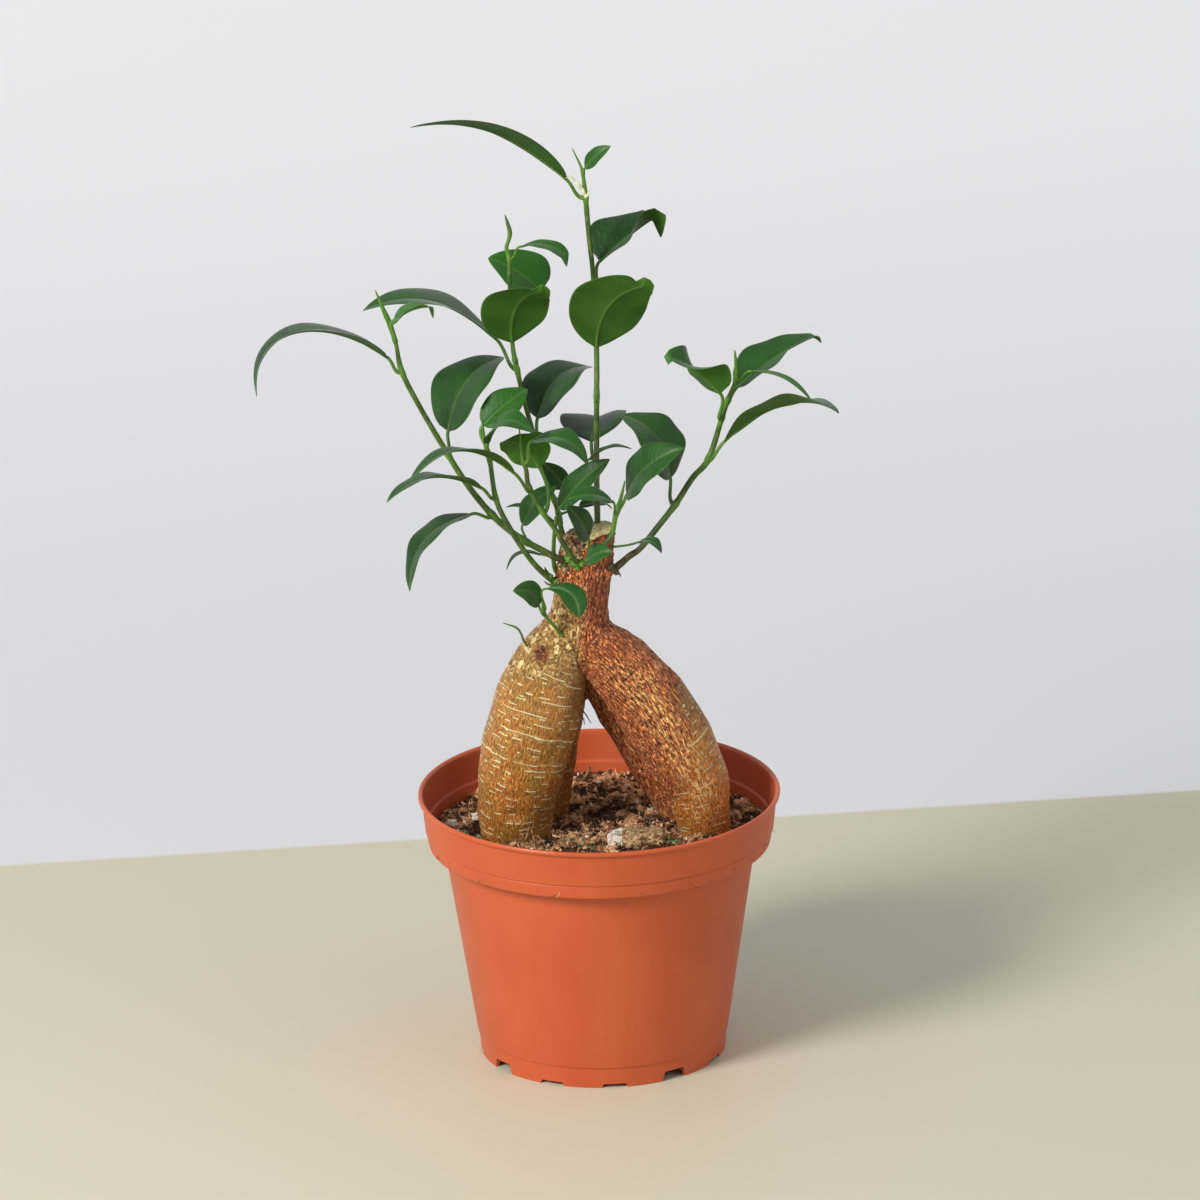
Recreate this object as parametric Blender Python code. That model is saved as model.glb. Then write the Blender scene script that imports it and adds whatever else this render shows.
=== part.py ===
"""Potted ginseng ficus: a nursery pot, potting mix, one swollen rootstock, and its shoots and leaves.

All lengths in the tables are millimetres, and every mesh is scaled to metres as it is made. The origin is
the middle of the pot's footprint on the surface that it stands on. +Z is up, and -Y is the plant's front.
"""
import math

import bmesh
import bpy
from mathutils import Vector, noise

MM = 0.001
GAP = 0.3  # clearance kept between neighbouring pieces
ROOT_CLEARANCE = 0.5  # growth of the bark's facets in the pieces that fit round them

# Pot
POT_HEIGHT = 114.0
RIM_RADIUS = 76.0
BASE_RADIUS = 51.4
COLLAR_BOTTOM = 91.9
WALL = 1.1
SKIRT_STEP = 8.8
PLATE_BOTTOM = 2.0
PLATE_THICKNESS = 1.2
POT_SIDES = 48
NOTCHES = 12
FIRST_NOTCH_ANGLE = math.radians(5 - 90)
NOTCH_HALF_ANGLE = math.radians(6.7)
SHALLOW_NOTCH = 1.7
DRAIN_NOTCH = 4.3

# Potting mix
SOIL_TOP = 96.3
SOIL_SWELL = 1.3
SOIL_LUMP_WIDTH = 26.0
SOIL_LUMP_SEED = 40.0
SOIL_RIM_RADIUS = 69.6
SOIL_SIDES = 32

# Rootstock
LIMB_SIDES = 14
SKIN_VOXEL = 2.0
ROOTSTOCK_FACES = 1500
SAW_CUT_HEIGHT = 230.0
PRUNING_SCAR = ((-7.9, -8.2, 226.0), (-0.55, -0.76, 0.34))

# Shoots and leaves
STEM_SIDES = 6
LEAF_THICKNESS = 0.8
LEAF_FOLD = 0.26
LEAF_DROOP = 0.10
PETIOLE_RADIUS = 0.75

UP = Vector((0, 0, 1))


def material(name, colour, roughness):
    mat = bpy.data.materials.new(name)
    mat.use_nodes = True
    shader = mat.node_tree.nodes["Principled BSDF"]
    shader.inputs["Base Color"].default_value = (*colour, 1)
    shader.inputs["Roughness"].default_value = roughness
    shader.inputs["Metallic"].default_value = 0
    return mat


def add_object(name, points, faces, mat):
    """A mesh object from points in millimetres."""
    mesh = bpy.data.meshes.new(name)
    mesh.from_pydata([Vector(p) * MM for p in points], [], faces)
    work = bmesh.new()
    work.from_mesh(mesh)
    bmesh.ops.recalc_face_normals(work, faces=work.faces)
    work.to_mesh(mesh)
    work.free()
    mesh.materials.append(mat)
    mesh.shade_smooth()
    mesh.set_sharp_from_angle(angle=math.radians(40))
    obj = bpy.data.objects.new(name, mesh)
    bpy.context.scene.collection.objects.link(obj)
    return obj


def loft(name, rings, mat):
    """A closed skin over rings of equal point counts, capped at both ends."""
    count = len(rings[0])
    faces = [list(reversed(range(count)))]
    for ring in range(len(rings) - 1):
        for i in range(count):
            a, b = ring * count + i, ring * count + (i + 1) % count
            faces.append((a, b, b + count, a + count))
    faces.append([(len(rings) - 1) * count + i for i in range(count)])
    return add_object(name, [p for ring in rings for p in ring], faces, mat)


def revolve(name, profile, sides, mat):
    """Turns an (r, z) outline, which starts and ends on the axis, about Z."""
    turned = profile[1:-1]
    points = [(0, 0, profile[0][1]), (0, 0, profile[-1][1])]
    for i in range(sides):
        angle = math.tau * i / sides
        points += [(r * math.cos(angle), r * math.sin(angle), z) for r, z in turned]
    rows, faces = len(turned), []
    for i in range(sides):
        a, b = 2 + i * rows, 2 + (i + 1) % sides * rows
        faces += [(a + k, b + k, b + k + 1, a + k + 1) for k in range(rows - 1)]
        faces += [(0, b, a), (1, a + rows - 1, b + rows - 1)]
    return add_object(name, points, faces, mat)


def smooth_route(points, steps):
    """A Catmull-Rom curve through (x, y, z, radius) points, with a number of steps in each span."""
    rows = [Vector(p) for p in points]
    rows = [2 * rows[0] - rows[1], *rows, 2 * rows[-1] - rows[-2]]
    route = []
    for i in range(1, len(rows) - 2):
        p0, p1, p2, p3 = rows[i - 1 : i + 3]
        for k in range(steps):
            t = k / steps
            route.append(
                0.5 * (2 * p1 + (p2 - p0) * t + (2 * p0 - 5 * p1 + 4 * p2 - p3) * t**2
                       + (3 * p1 - p0 - 3 * p2 + p3) * t**3)
            )
    return [*route, rows[-2]]


def tangents(route):
    ends = [route[0], *route, route[-1]]
    return [(ends[i + 2].to_3d() - ends[i].to_3d()).normalized() for i in range(len(route))]


def tube_rings(route, sides):
    rings = []
    for row, along in zip(route, tangents(route)):
        side = along.cross(Vector((0, 1, 0)) if abs(along.y) < 0.9 else UP).normalized()
        up = side.cross(along)
        angles = [math.tau * i / sides for i in range(sides)]
        rings.append([row.to_3d() + row.w * (math.cos(a) * side + math.sin(a) * up) for a in angles])
    return rings


def boolean(obj, cutter, operation="DIFFERENCE"):
    """Cuts obj with a hidden helper object."""
    modifier = obj.modifiers.new(operation.title() + "_" + cutter.name, "BOOLEAN")
    modifier.operation = operation
    modifier.object = cutter
    cutter.hide_render = True
    cutter.display_type = "WIRE"
    return modifier


def as_made(obj):
    """The object's mesh with its modifiers applied."""
    bpy.context.view_layer.update()
    return bpy.data.meshes.new_from_object(obj.evaluated_get(bpy.context.evaluated_depsgraph_get()))


# ---------------------------------------------------------------------- pot
def wall_radius(z):
    """Outside radius of the tapered wall."""
    return BASE_RADIUS + 1.2 + 0.155 * (z - SKIRT_STEP)


def make_pot(mat):
    inside = wall_radius(COLLAR_BOTTOM) - WALL
    profile = [
        (0, PLATE_BOTTOM),
        (BASE_RADIUS - 1.4, PLATE_BOTTOM),
        (BASE_RADIUS - 1.6, 0),
        (BASE_RADIUS, 0),
        (wall_radius(SKIRT_STEP) - 0.5, SKIRT_STEP),
        (wall_radius(SKIRT_STEP), SKIRT_STEP + 0.3),
        (wall_radius(COLLAR_BOTTOM), COLLAR_BOTTOM),
        (71.6, COLLAR_BOTTOM),
        (72.5, 97.4),
        (73.2, 98.0),
        (74.5, POT_HEIGHT - 2.6),
        (RIM_RADIUS, POT_HEIGHT - 1.8),
        (RIM_RADIUS, POT_HEIGHT - 0.6),
        (RIM_RADIUS - 1.0, POT_HEIGHT),
        (RIM_RADIUS - 2.2, POT_HEIGHT - 0.5),
        (72.2, 100.6),
        (71.2, 100.0),
        (70.5, COLLAR_BOTTOM + WALL),
        (inside, COLLAR_BOTTOM + WALL),
        (wall_radius(PLATE_BOTTOM + PLATE_THICKNESS) - WALL, PLATE_BOTTOM + PLATE_THICKNESS),
        (0, PLATE_BOTTOM + PLATE_THICKNESS),
    ]
    pot = revolve("pot", profile, POT_SIDES, mat)
    for k in range(NOTCHES):
        boolean(pot, notch_cutter(k, mat))
    return pot


def notch_cutter(k, mat):
    """A tapered slot through the foot. Every third one is tall and reaches in under the base as a drain."""
    drain = k % 3 == 1
    height = DRAIN_NOTCH if drain else SHALLOW_NOTCH
    inner = BASE_RADIUS - (9 if drain else 4)
    middle = FIRST_NOTCH_ANGLE + math.tau * k / NOTCHES
    out = Vector((math.cos(middle), math.sin(middle), 0))
    across = UP.cross(out)
    rings = []
    for radius in (inner, BASE_RADIUS + 4):
        foot, top = radius * math.tan(NOTCH_HALF_ANGLE), radius * math.tan(NOTCH_HALF_ANGLE * 0.78)
        corners = ((-foot, -1), (foot, -1), (top, height), (-top, height))
        rings.append([radius * out + side * across + z * UP for side, z in corners])
    return loft(f"notch_cutter_{k}", rings, mat)


# ---------------------------------------------------------------------- rootstock
LIMBS = {  # x, y, z, radius, from the crown down
    "trunk": [(1.5, 0.5, 234, 8.8), (-2.4, 0, 226, 10.4), (-4.4, 0, 213, 11.2), (-6, 0, 199, 11.9),
              (-7.2, 0, 189, 13), (-7.5, 1, 178, 14)],
    "left_front": [(-10, 0, 187, 11), (-19.8, -2, 170, 16.2), (-25.2, -4, 153.3, 18.8),
                   (-30.2, -5, 134, 19.2), (-34.6, -3, 111, 17.6), (-35.8, -1, 95, 15.3),
                   (-36, 1, 78, 11.5), (-36, 4, 60, 7)],
    "right_front": [(-3, -1, 182, 11), (10, -4, 170, 14.3), (23, -7, 154, 16.2), (34, -7, 134, 16),
                    (40.8, -5, 116.6, 14), (44.4, -2, 96, 11), (46, 2, 78, 8), (46, 6, 60, 5)],
    "left_back": [(-9.5, 4, 177, 11), (-14.6, 11, 156, 10.3), (-18.5, 16, 131, 10.5), (-22, 21, 103, 10),
                  (-25, 25, 82, 8), (-28, 28, 64, 5)],
    "right_back": [(-3, 4, 176, 10.5), (8, 11, 152, 11), (19.5, 14, 129, 11.4), (29.5, 16, 110, 10.5),
                   (35.5, 17, 95, 9), (39, 19, 78, 7), (40, 20, 62, 5)],
}


def make_rootstock(mat):
    """One skin over the trunk and four root legs, sawn level at the top and pruned at the left front."""
    rings = {name: tube_rings(smooth_route(points, 2), LIMB_SIDES) for name, points in LIMBS.items()}
    points, faces = [], []
    for limb in rings.values():
        tube = loft("limb", limb, mat)
        first = len(points)
        points += [v.co / MM for v in tube.data.vertices]
        faces += [[first + v for v in polygon.vertices] for polygon in tube.data.polygons]
        bpy.data.objects.remove(tube)
    core = add_object("rootstock_core", points, faces, mat)
    skin = core.modifiers.new("Skin", "REMESH")
    skin.mode = "VOXEL"
    skin.voxel_size = SKIN_VOXEL * MM
    ease = core.modifiers.new("Ease", "SMOOTH")
    ease.factor = 0.5
    ease.iterations = 3
    mesh = as_made(core)
    reduce = core.modifiers.new("Reduce", "DECIMATE")
    reduce.ratio = ROOTSTOCK_FACES / (2 * len(mesh.polygons))
    mesh = as_made(core)
    bpy.data.objects.remove(core)
    rootstock = bpy.data.objects.new("rootstock", mesh)
    bpy.context.scene.collection.objects.link(rootstock)
    boolean(rootstock, slab_cutter("saw_cut", (0, 0, SAW_CUT_HEIGHT), (0, 0, 1), mat))
    boolean(rootstock, slab_cutter("scar_cut", *PRUNING_SCAR, mat))
    cut = as_made(rootstock)
    rootstock.modifiers.clear()
    rootstock.data = cut
    return rootstock


def slab_cutter(name, point, facing, mat):
    """A block that lies on the outer side of a plane."""
    turn = Vector(facing).to_track_quat("Z", "X")
    half, depth = 16, 14
    ring = [(-half, -half), (half, -half), (half, half), (-half, half)]
    return loft(name, [[Vector(point) + turn @ Vector((x, y, z)) for x, y in ring] for z in (0, depth)], mat)


def clearance_of(obj):
    """A hidden copy of obj, grown all round, and by more in its creases so that they stay clear too."""
    mesh = as_made(obj)
    work = bmesh.new()
    work.from_mesh(mesh)
    gap = ROOT_CLEARANCE * MM
    moves = [vertex.normal * gap * min(vertex.calc_shell_factor(), 3) for vertex in work.verts]
    for vertex, move in zip(work.verts, moves):
        vertex.co += move
    work.to_mesh(mesh)
    work.free()
    copy = bpy.data.objects.new(obj.name + "_clearance", mesh)
    bpy.context.scene.collection.objects.link(copy)
    return copy


# ---------------------------------------------------------------------- soil
def soil_height(x, y):
    """The mix is heaped a little between the roots and sinks towards the pot's wall."""
    radius = math.hypot(x, y)
    share = radius / wall_radius(POT_HEIGHT)
    lumps = noise.noise(Vector((x, y, SOIL_LUMP_SEED)) / SOIL_LUMP_WIDTH) * 1.6 * (1 - share**4)
    return SOIL_TOP + SOIL_SWELL * (lumps + math.cos(share * math.pi / 2) - 0.3)


def make_soil(mat, roots):
    ledge = COLLAR_BOTTOM + WALL
    sides = [
        (SOIL_RIM_RADIUS, SOIL_TOP - 1.6),
        (SOIL_RIM_RADIUS, ledge + GAP),
        (wall_radius(COLLAR_BOTTOM) - WALL - GAP, ledge + GAP),
        (wall_radius(PLATE_BOTTOM + PLATE_THICKNESS) - WALL - GAP, PLATE_BOTTOM + PLATE_THICKNESS + GAP),
    ]
    top = [(SOIL_RIM_RADIUS * k / 6, SOIL_TOP) for k in range(6)]
    soil = revolve("soil", [*top, *sides, (0, sides[-1][1])], SOIL_SIDES, mat)
    for vertex in soil.data.vertices:
        x, y, z = vertex.co / MM
        if z > SOIL_TOP - 1:
            vertex.co.z = soil_height(x, y) * MM
    boolean(soil, roots)
    return soil


# ---------------------------------------------------------------------- shoots
class Stem:
    """A shoot along a hand-laid route of (x, y, z, radius) points from the rootstock to its end bud."""

    def __init__(self, name, points, mat, roots):
        self.route = smooth_route(points, 2)
        self.object = loft(name, tube_rings(self.route, STEM_SIDES), mat)
        boolean(self.object, roots)

    def at(self, height):
        """Centre, direction and radius where the shoot passes a height."""
        along = tangents(self.route)
        for i in range(len(self.route) - 1):
            low, high = self.route[i], self.route[i + 1]
            if low.z <= height <= high.z:
                row = low.lerp(high, (height - low.z) / (high.z - low.z))
                return row.to_3d(), along[i].lerp(along[i + 1], 0.5).normalized(), row.w
        raise ValueError(f"no point of the shoot is at height {height}")


STEMS = {
    "stem_tall": [(1.2, 6, 221, 1.3), (1.3, 8.6, 234, 1.3), (1.3, 9, 252, 1.2), (1.8, 9, 281, 1.15),
                  (2.2, 9, 306, 1.1), (1.4, 9, 337, 1.05), (0, 9, 354, 1.05), (-1.3, 8, 373, 1.1),
                  (-2, 7, 382, 0.75), (-3, 6.8, 387, 0.55), (-6.4, 6, 395.2, 0.25)],
    "stem_middle": [(-8, 3, 218, 1.1), (-13.3, 6.5, 226, 1.1), (-15, 7, 235, 1.05),
                    (-17.3, 8, 242.5, 1.05), (-21.2, 9, 254, 1.05), (-25.1, 9, 270.7, 1.05),
                    (-27.5, 9, 280.5, 1.05), (-31, 8, 298, 1.05), (-32.8, 7, 310.6, 0.95),
                    (-33.3, 6, 332.3, 0.85), (-33.3, 5, 347.6, 0.9), (-34.5, 5, 352.4, 0.85),
                    (-33.5, 5, 356, 0.85), (-32.9, 5, 359.4, 0.95), (-33.8, 4.6, 363.5, 0.75),
                    (-34.8, 4, 367.4, 0.25)],
    "stem_left": [(-9, -5, 217.5, 1.45), (-16, -9.6, 221, 1.45), (-21, -10.5, 224.2, 1.4),
                  (-31.8, -11, 231, 1.4), (-42.5, -12, 241.3, 1.4), (-53.1, -13, 256, 1.3),
                  (-62, -14, 272, 1.2), (-70.9, -15, 289, 1.1), (-78.6, -16, 305.9, 1.15),
                  (-80.9, -16, 318.4, 0.85), (-83.2, -16.4, 327, 1.2),
                  (-86, -17.1, 334.5, 0.9), (-89, -18, 342.8, 0.25)],
    "stem_right": [(3, -3, 210.5, 1.65), (8.5, -2.6, 213.6, 1.65), (14.4, -1, 218.1, 1.4),
                   (19.1, 0, 221.2, 1.3), (26.8, 1, 230.5, 1.3), (34, 2, 239.7, 1.3),
                   (41.3, 3, 250.8, 1.25), (48.1, 3, 259.1, 1.3), (53.9, 4, 276.8, 1.1),
                   (56.1, 4, 283.4, 1.1), (59.3, 4, 291, 1.05), (60.2, 3.4, 296, 0.9),
                   (59.6, 2, 307, 0.3)],
    "stem_low_left": [(-13, -3, 205.5, 1.3), (-18, -7, 210, 1.3), (-26.5, -14, 221.5, 1.2),
                      (-35.4, -19, 238.1, 1.15), (-40.7, -20, 251, 1.1), (-42.9, -20.5, 267.8, 0.95),
                      (-44.6, -20.6, 274, 0.75), (-46.3, -21, 291.6, 0.25)],
    "stem_front": [(-6.9, -7, 217.5, 1.2), (-8.8, -13, 221.5, 1.2), (-12.6, -16, 228.4, 1.15),
                   (-15.9, -17, 235.5, 1.1), (-20.7, -18, 243, 1.05), (-26.8, -19, 255.5, 1.05),
                   (-27.9, -20, 263.4, 0.95), (-29.5, -20, 270, 0.75), (-30.5, -22, 283, 0.25)],
    "stem_inner": [(-11.5, -1.5, 207, 0.95), (-16.6, -2.6, 213, 0.95), (-17.2, -3, 221, 0.9),
                   (-16.8, -6.4, 230, 0.85), (-16.2, -10, 236, 0.85), (-15.3, -12, 241, 0.45)],
    "stem_stump": [(-3, -7, 218.5, 1.1), (0, -12.6, 223.2, 1.1), (3.4, -14.6, 227.6, 1.05),
                   (7.1, -14, 232.3, 1.05), (8.9, -13.4, 240.3, 1.05), (11, -13.2, 247.3, 0.85),
                   (13, -14.4, 256, 0.25)],
    "stem_shoulder": [(-13.5, -7.5, 184.6, 0.75), (-15.9, -12.2, 189.6, 0.75), (-19, -15.2, 194.6, 0.7),
                      (-21.6, -17, 199.4, 0.65), (-22.4, -17.8, 207.6, 0.35)],
    "twig_withered": [(-25.5, -5.5, 175, 0.6), (-30, -9, 183.6, 0.55), (-31.4, -10.5, 188, 0.45),
                      (-33.4, -11.4, 191, 0.45), (-38.7, -13, 193.7, 0.2)],
}


# ---------------------------------------------------------------------- leaves
def half_width(t, width, widest):
    """Half the blade's width at a share t of its length."""
    return width / 2 * math.sin(math.pi * t ** (math.log(0.5) / math.log(widest))) ** 0.8


def midrib(base, tip, arch, lean, face, hook, sweep):
    """A function giving the midrib's point, direction and upper side at a share of its length."""
    chord = tip - base
    rise = (face - face.project(chord)).normalized()
    bow = chord.cross(rise).normalized() * sweep * 4 / 3
    early = base + chord / 3 + rise * arch * 8 / 3 * (1 - lean) + bow
    late = base + chord * (2 / 3 + hook) + rise * arch * 8 / 3 * lean + bow

    def place(t):
        s = 1 - t
        point = s**3 * base + 3 * s * s * t * early + 3 * s * t * t * late + t**3 * tip
        along = (s * s * (early - base) + 2 * s * t * (late - early) + t * t * (tip - late)).normalized()
        return point, along, (rise - rise.project(along)).normalized()

    return place


def leaf_ring(point, along, upper, half, thickness, fold):
    """Six points round the blade: two edges, three along the top and the midrib below."""
    side = along.cross(upper)
    edge, middle = half * (fold - LEAF_DROOP), half * (0.55 * fold - 0.17 * LEAF_DROOP)
    spots = (
        (-half, edge),
        (-0.55 * half, middle + thickness / 2),
        (0, thickness / 2),
        (0.55 * half, middle + thickness / 2),
        (half, edge),
        (0, -thickness * 0.6),
    )
    return [point + side * x + upper * z for x, z in spots]


def leaf(
    name, mat, stem, height, base, tip, arch, width, face,
    lean=0.55, widest=0.42, fold=LEAF_FOLD, hook=0, sweep=0, roots=None,
):
    """A blade and its stalk in one solid. The stalk springs square from the shoot at the given height."""
    base, tip, face = Vector(base), Vector(tip), Vector(face)
    place = midrib(base, tip, arch, lean, face, hook, sweep)
    _, along, upper = place(0)
    if stem:
        centre, run, radius = stem.at(height)
        out = base - centre
        out = (out - out.project(run)).normalized()
        start = centre + out * (radius + GAP + 0.05)
    else:
        start = Vector(height)
        out = (base - start).normalized()
    reach = (base - start).length
    stalk = PETIOLE_RADIUS if width > 12 else 0.5
    rings = []
    for t in (0, 0.25, 0.6):
        s = 1 - t
        bend, ease = start + out * reach * 0.35, base - along * reach * 0.4
        point = s**3 * start + 3 * s * s * t * bend + 3 * s * t * t * ease + t**3 * base
        run = (s * s * (bend - start) + 2 * s * t * (ease - bend) + t * t * (base - ease)).normalized()
        upright = (upper - upper.project(run)).normalized()
        side = run.cross(upright)
        angles = [math.radians(a) for a in (180, 130, 90, 50, 0, 270)]
        rings.append([point + stalk * (math.cos(a) * side + math.sin(a) * upright) for a in angles])
    rings.append(leaf_ring(base, along, upper, stalk * 1.2, stalk * 1.4, 0.2))
    for t in (0.12, 0.3, 0.5, 0.7, 0.87):
        rings.append(leaf_ring(*place(t), half_width(t, width, widest), LEAF_THICKNESS, fold))
    rings.append(leaf_ring(*place(1), 0.35, 0.35, fold))
    obj = loft(name, rings, mat)
    if roots:
        boolean(obj, roots)
    return obj


def make_leaves(mat, stems, roots):
    tall, middle, left, right = (stems["stem_" + n] for n in ("tall", "middle", "left", "right"))
    low, front, inner, stump = (stems["stem_" + n] for n in ("low_left", "front", "inner", "stump"))
    shoulder = stems["stem_shoulder"]

    leaf("leaf_tall_1", mat, tall, 384, (-1.3, 4, 387.4), (9.4, 0, 398), 1.5, 7.5, (-0.5, -0.6, 0.5))
    leaf("leaf_tall_2", mat, tall, 373, (-9.1, 7, 381.5), (-73, -10, 411), 9, 24, (0.3, 0.46, 0.83))
    leaf("leaf_tall_3", mat, tall, 334, (4.1, 13, 343.3), (33, 28, 359.5), 1, 26,
         (-0.4, -0.3, 0.87), 0.6, 0.4, fold=0.7)
    leaf("leaf_tall_4", mat, tall, 284, (2.2, 3, 309.2), (25.6, -24, 345), 3, 31,
         (0.17, 0.82, 0.55), 0.65, 0.45, fold=0.2, sweep=7)
    leaf("leaf_tall_5", mat, tall, 254, (-0.6, 14, 264), (3, 50, 262), 3, 28, (-0.1, -0.1, 1), fold=0.4)
    leaf("leaf_tall_6", mat, tall, 251, (-2, 2, 260), (16.1, 2, 264.4), 3, 8, (0, 0.2, 1))

    leaf("leaf_middle_1", mat, middle, 348, (-28.8, 2, 354.2), (-6.8, -8, 349.2), 5, 8.5,
         (0, -0.2, 1), widest=0.58)
    leaf("leaf_middle_2", mat, middle, 322, (-20.5, 27, 325.6), (-42.3, 24, 341.9), 2, 22,
         (0.51, -0.74, 0.43), widest=0.3, fold=0.45, sweep=1)
    leaf("leaf_middle_3", mat, middle, 302, (-32.8, 0, 313.1), (-19.5, -26, 345), 5, 31,
         (-0.1, 0.8, 0.55), 0.75, 0.45, fold=0.15, sweep=7)
    leaf("leaf_middle_4", mat, middle, 298, (-39.5, 13, 310), (-94.4, 0, 328), 10, 26, (0, 0, 1), 0.6)
    leaf("leaf_middle_5", mat, middle, 266.5, (-23, 15, 274), (0, 36, 289), 8, 29, (-0.65, -0.5, 0.55))
    leaf("leaf_middle_6", mat, middle, 240.5, (-11.8, 6, 246.5), (-20.8, 2, 259), 1.5, 9,
         (-0.3, -0.6, 0.7))
    leaf("leaf_middle_7", mat, middle, 234, (-6.1, 14, 235), (7.3, 24, 230.5), 3, 8, (0, -0.3, 1))
    leaf("leaf_middle_8", mat, middle, 231, (-20, 4, 235), (-36.6, 3, 239.4), 2, 6, (0, 0, 1))

    leaf("leaf_left_1", mat, left, 320, (-82, -20.4, 330.2), (-61.8, -32, 339.3), 3, 13,
         (-0.2, -0.3, 0.9), 0.65, 0.28)
    leaf("leaf_left_2", mat, left, 306.4, (-84.7, -17, 313.1), (-138.9, -30, 301.4), 21, 24,
         (-0.25, 0.15, 0.95), widest=0.3, hook=0.26)
    leaf("leaf_left_3", mat, left, 268.5, (-60.2, -6, 276.3), (-36.7, 15, 301.3), 8, 31,
         (-0.7, -0.55, 0.4))
    leaf("leaf_left_4", mat, left, 241.3, (-50.8, -18, 244), (-77.2, -34, 216.1), 9.5, 17,
         (-0.6, -0.2, 0.75))

    leaf("leaf_low_left_1", mat, low, 270.5, (-45.6, -14, 281.4), (-26.9, -6, 294.3), 2, 15,
         (-0.3, -0.75, 0.55))
    leaf("leaf_low_left_2", mat, low, 268, (-43.6, -24.5, 277.6), (-24.3, -36, 285.5), 8, 16,
         (0, -0.3, 1), 0.65)
    leaf("leaf_low_left_3", mat, low, 251.8, (-46.9, -26, 258.3), (-85.8, -46, 259.6), 7.5, 17,
         (-0.13, 0.18, 0.9))
    leaf("leaf_front_1", mat, front, 266.5, (-25.2, -24, 277.7), (-2.4, -36, 271.3), 7, 14,
         (0, -0.2, 1), 0.6)
    leaf("leaf_front_2", mat, front, 254.6, (-33, -29, 265.6), (-76, -52, 271), 11, 17,
         (-0.06, 0.22, 0.9))
    leaf("leaf_front_3", mat, front, 243.5, (-22.5, -10, 261.1), (-36.5, -18, 276), 4, 22,
         (-0.1, 0.7, 0.7))
    leaf("leaf_left_5", mat, left, 229, (-30, -5, 234), (-15.5, -1, 249.6), 3, 12, (-0.6, -0.6, 0.5))

    leaf("leaf_inner_1", mat, inner, 238.6, (-14.5, -10.4, 243), (6.8, -16, 266.3), 3, 12.5,
         (-0.5, -0.7, 0.5))
    leaf("leaf_inner_2", mat, inner, 219, (-22.7, 0, 219.3), (-37, -3, 213.8), 4, 7, (0, 0.2, 1))

    leaf("leaf_stump_1", mat, stump, 243, (13.6, -9, 247.8), (37.8, -24, 273.4), 5.5, 20, (-0.6, -0.5, 0.6))
    leaf("leaf_stump_2", mat, stump, 241.5, (7.6, -21, 249.6), (-10.6, -34.5, 255.6), 3, 9.5,
         (0, -0.5, 0.85))
    leaf("leaf_stump_3", mat, stump, 222.5, (-2.5, -17, 232), (-11.5, -27, 249.7), 2, 12,
         (0.3, -0.75, 0.6))
    leaf("leaf_stump_4", mat, stump, 221, (-3.5, -17, 222.4), (7.4, -26, 229), 2, 10, (0, -0.7, 0.7))
    leaf("leaf_stump_5", mat, None, (4, -3, 222.5), (18.3, -6, 226), (27.8, -11, 222.8), 3, 8,
         (0, 0, 1), roots=roots)

    leaf("leaf_right_1", mat, right, 293.4, (65.9, -2, 299.1), (91.5, -20, 291), 4.5, 4.6, (0, 0.1, 1))
    leaf("leaf_right_2", mat, right, 284, (60.6, 9, 288.5), (96.5, 24, 306.3), 2.5, 24,
         (-0.32, -0.24, 0.92), widest=0.4, fold=0.5)
    leaf("leaf_right_3", mat, right, 276.4, (53.2, -1, 289.3), (30, -14, 310.5), 3.5, 21,
         (0.35, 0.75, 0.55), 0.7, 0.3, fold=0.5)
    leaf("leaf_right_4", mat, right, 259.1, (54.5, -1, 267.8), (102.3, -16, 284.8), 9, 27,
         (0, 0.4, 0.9), widest=0.55, hook=0.12)
    leaf("leaf_right_5", mat, right, 239, (32.1, 8, 248.7), (12.1, 16, 274.6), 8, 26, (0.65, -0.5, 0.5))

    leaf("leaf_shoulder_1", mat, shoulder, 198.6, (-23.6, -20.6, 203.6), (-34.2, -30, 213.9), 1.5, 10.5,
         (0, -0.8, 0.6), sweep=2.6)
    leaf("leaf_shoulder_2", mat, shoulder, 201, (-21, -21, 211.4), (-7.1, -30, 201.8), 2.5, 10.5,
         (0, -0.6, 0.8), widest=0.62, sweep=-4.4)


def make_plant():
    for obj in list(bpy.data.objects):
        bpy.data.objects.remove(obj)
    terracotta = material("pot_plastic", (0.69, 0.145, 0.05), 0.5)
    mix = material("potting_mix", (0.045, 0.022, 0.012), 0.95)
    bark = material("bark", (0.24, 0.1, 0.03), 0.55)
    green_wood = material("green_shoot", (0.08, 0.22, 0.03), 0.45)
    leaf_green = material("leaf_blade", (0.02, 0.11, 0.025), 0.3)

    make_pot(terracotta)
    rootstock = make_rootstock(bark)
    roots = clearance_of(rootstock)
    make_soil(mix, roots)
    stems = {name: Stem(name, points, green_wood, roots) for name, points in STEMS.items()}
    make_leaves(leaf_green, stems, roots)


make_plant()
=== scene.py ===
"""A ginseng ficus in a nursery pot: the finish of every piece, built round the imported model.

Sizes in the tables are millimetres, +Z is up and -Y is the plant's front. The origin is the middle of the
pot's footprint.
"""
import math
import random

import bmesh
import bpy
import numpy as np
from mathutils import Matrix, Quaternion, Vector, kdtree
from mathutils.noise import noise, noise_vector, seed_set, voronoi


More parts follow.
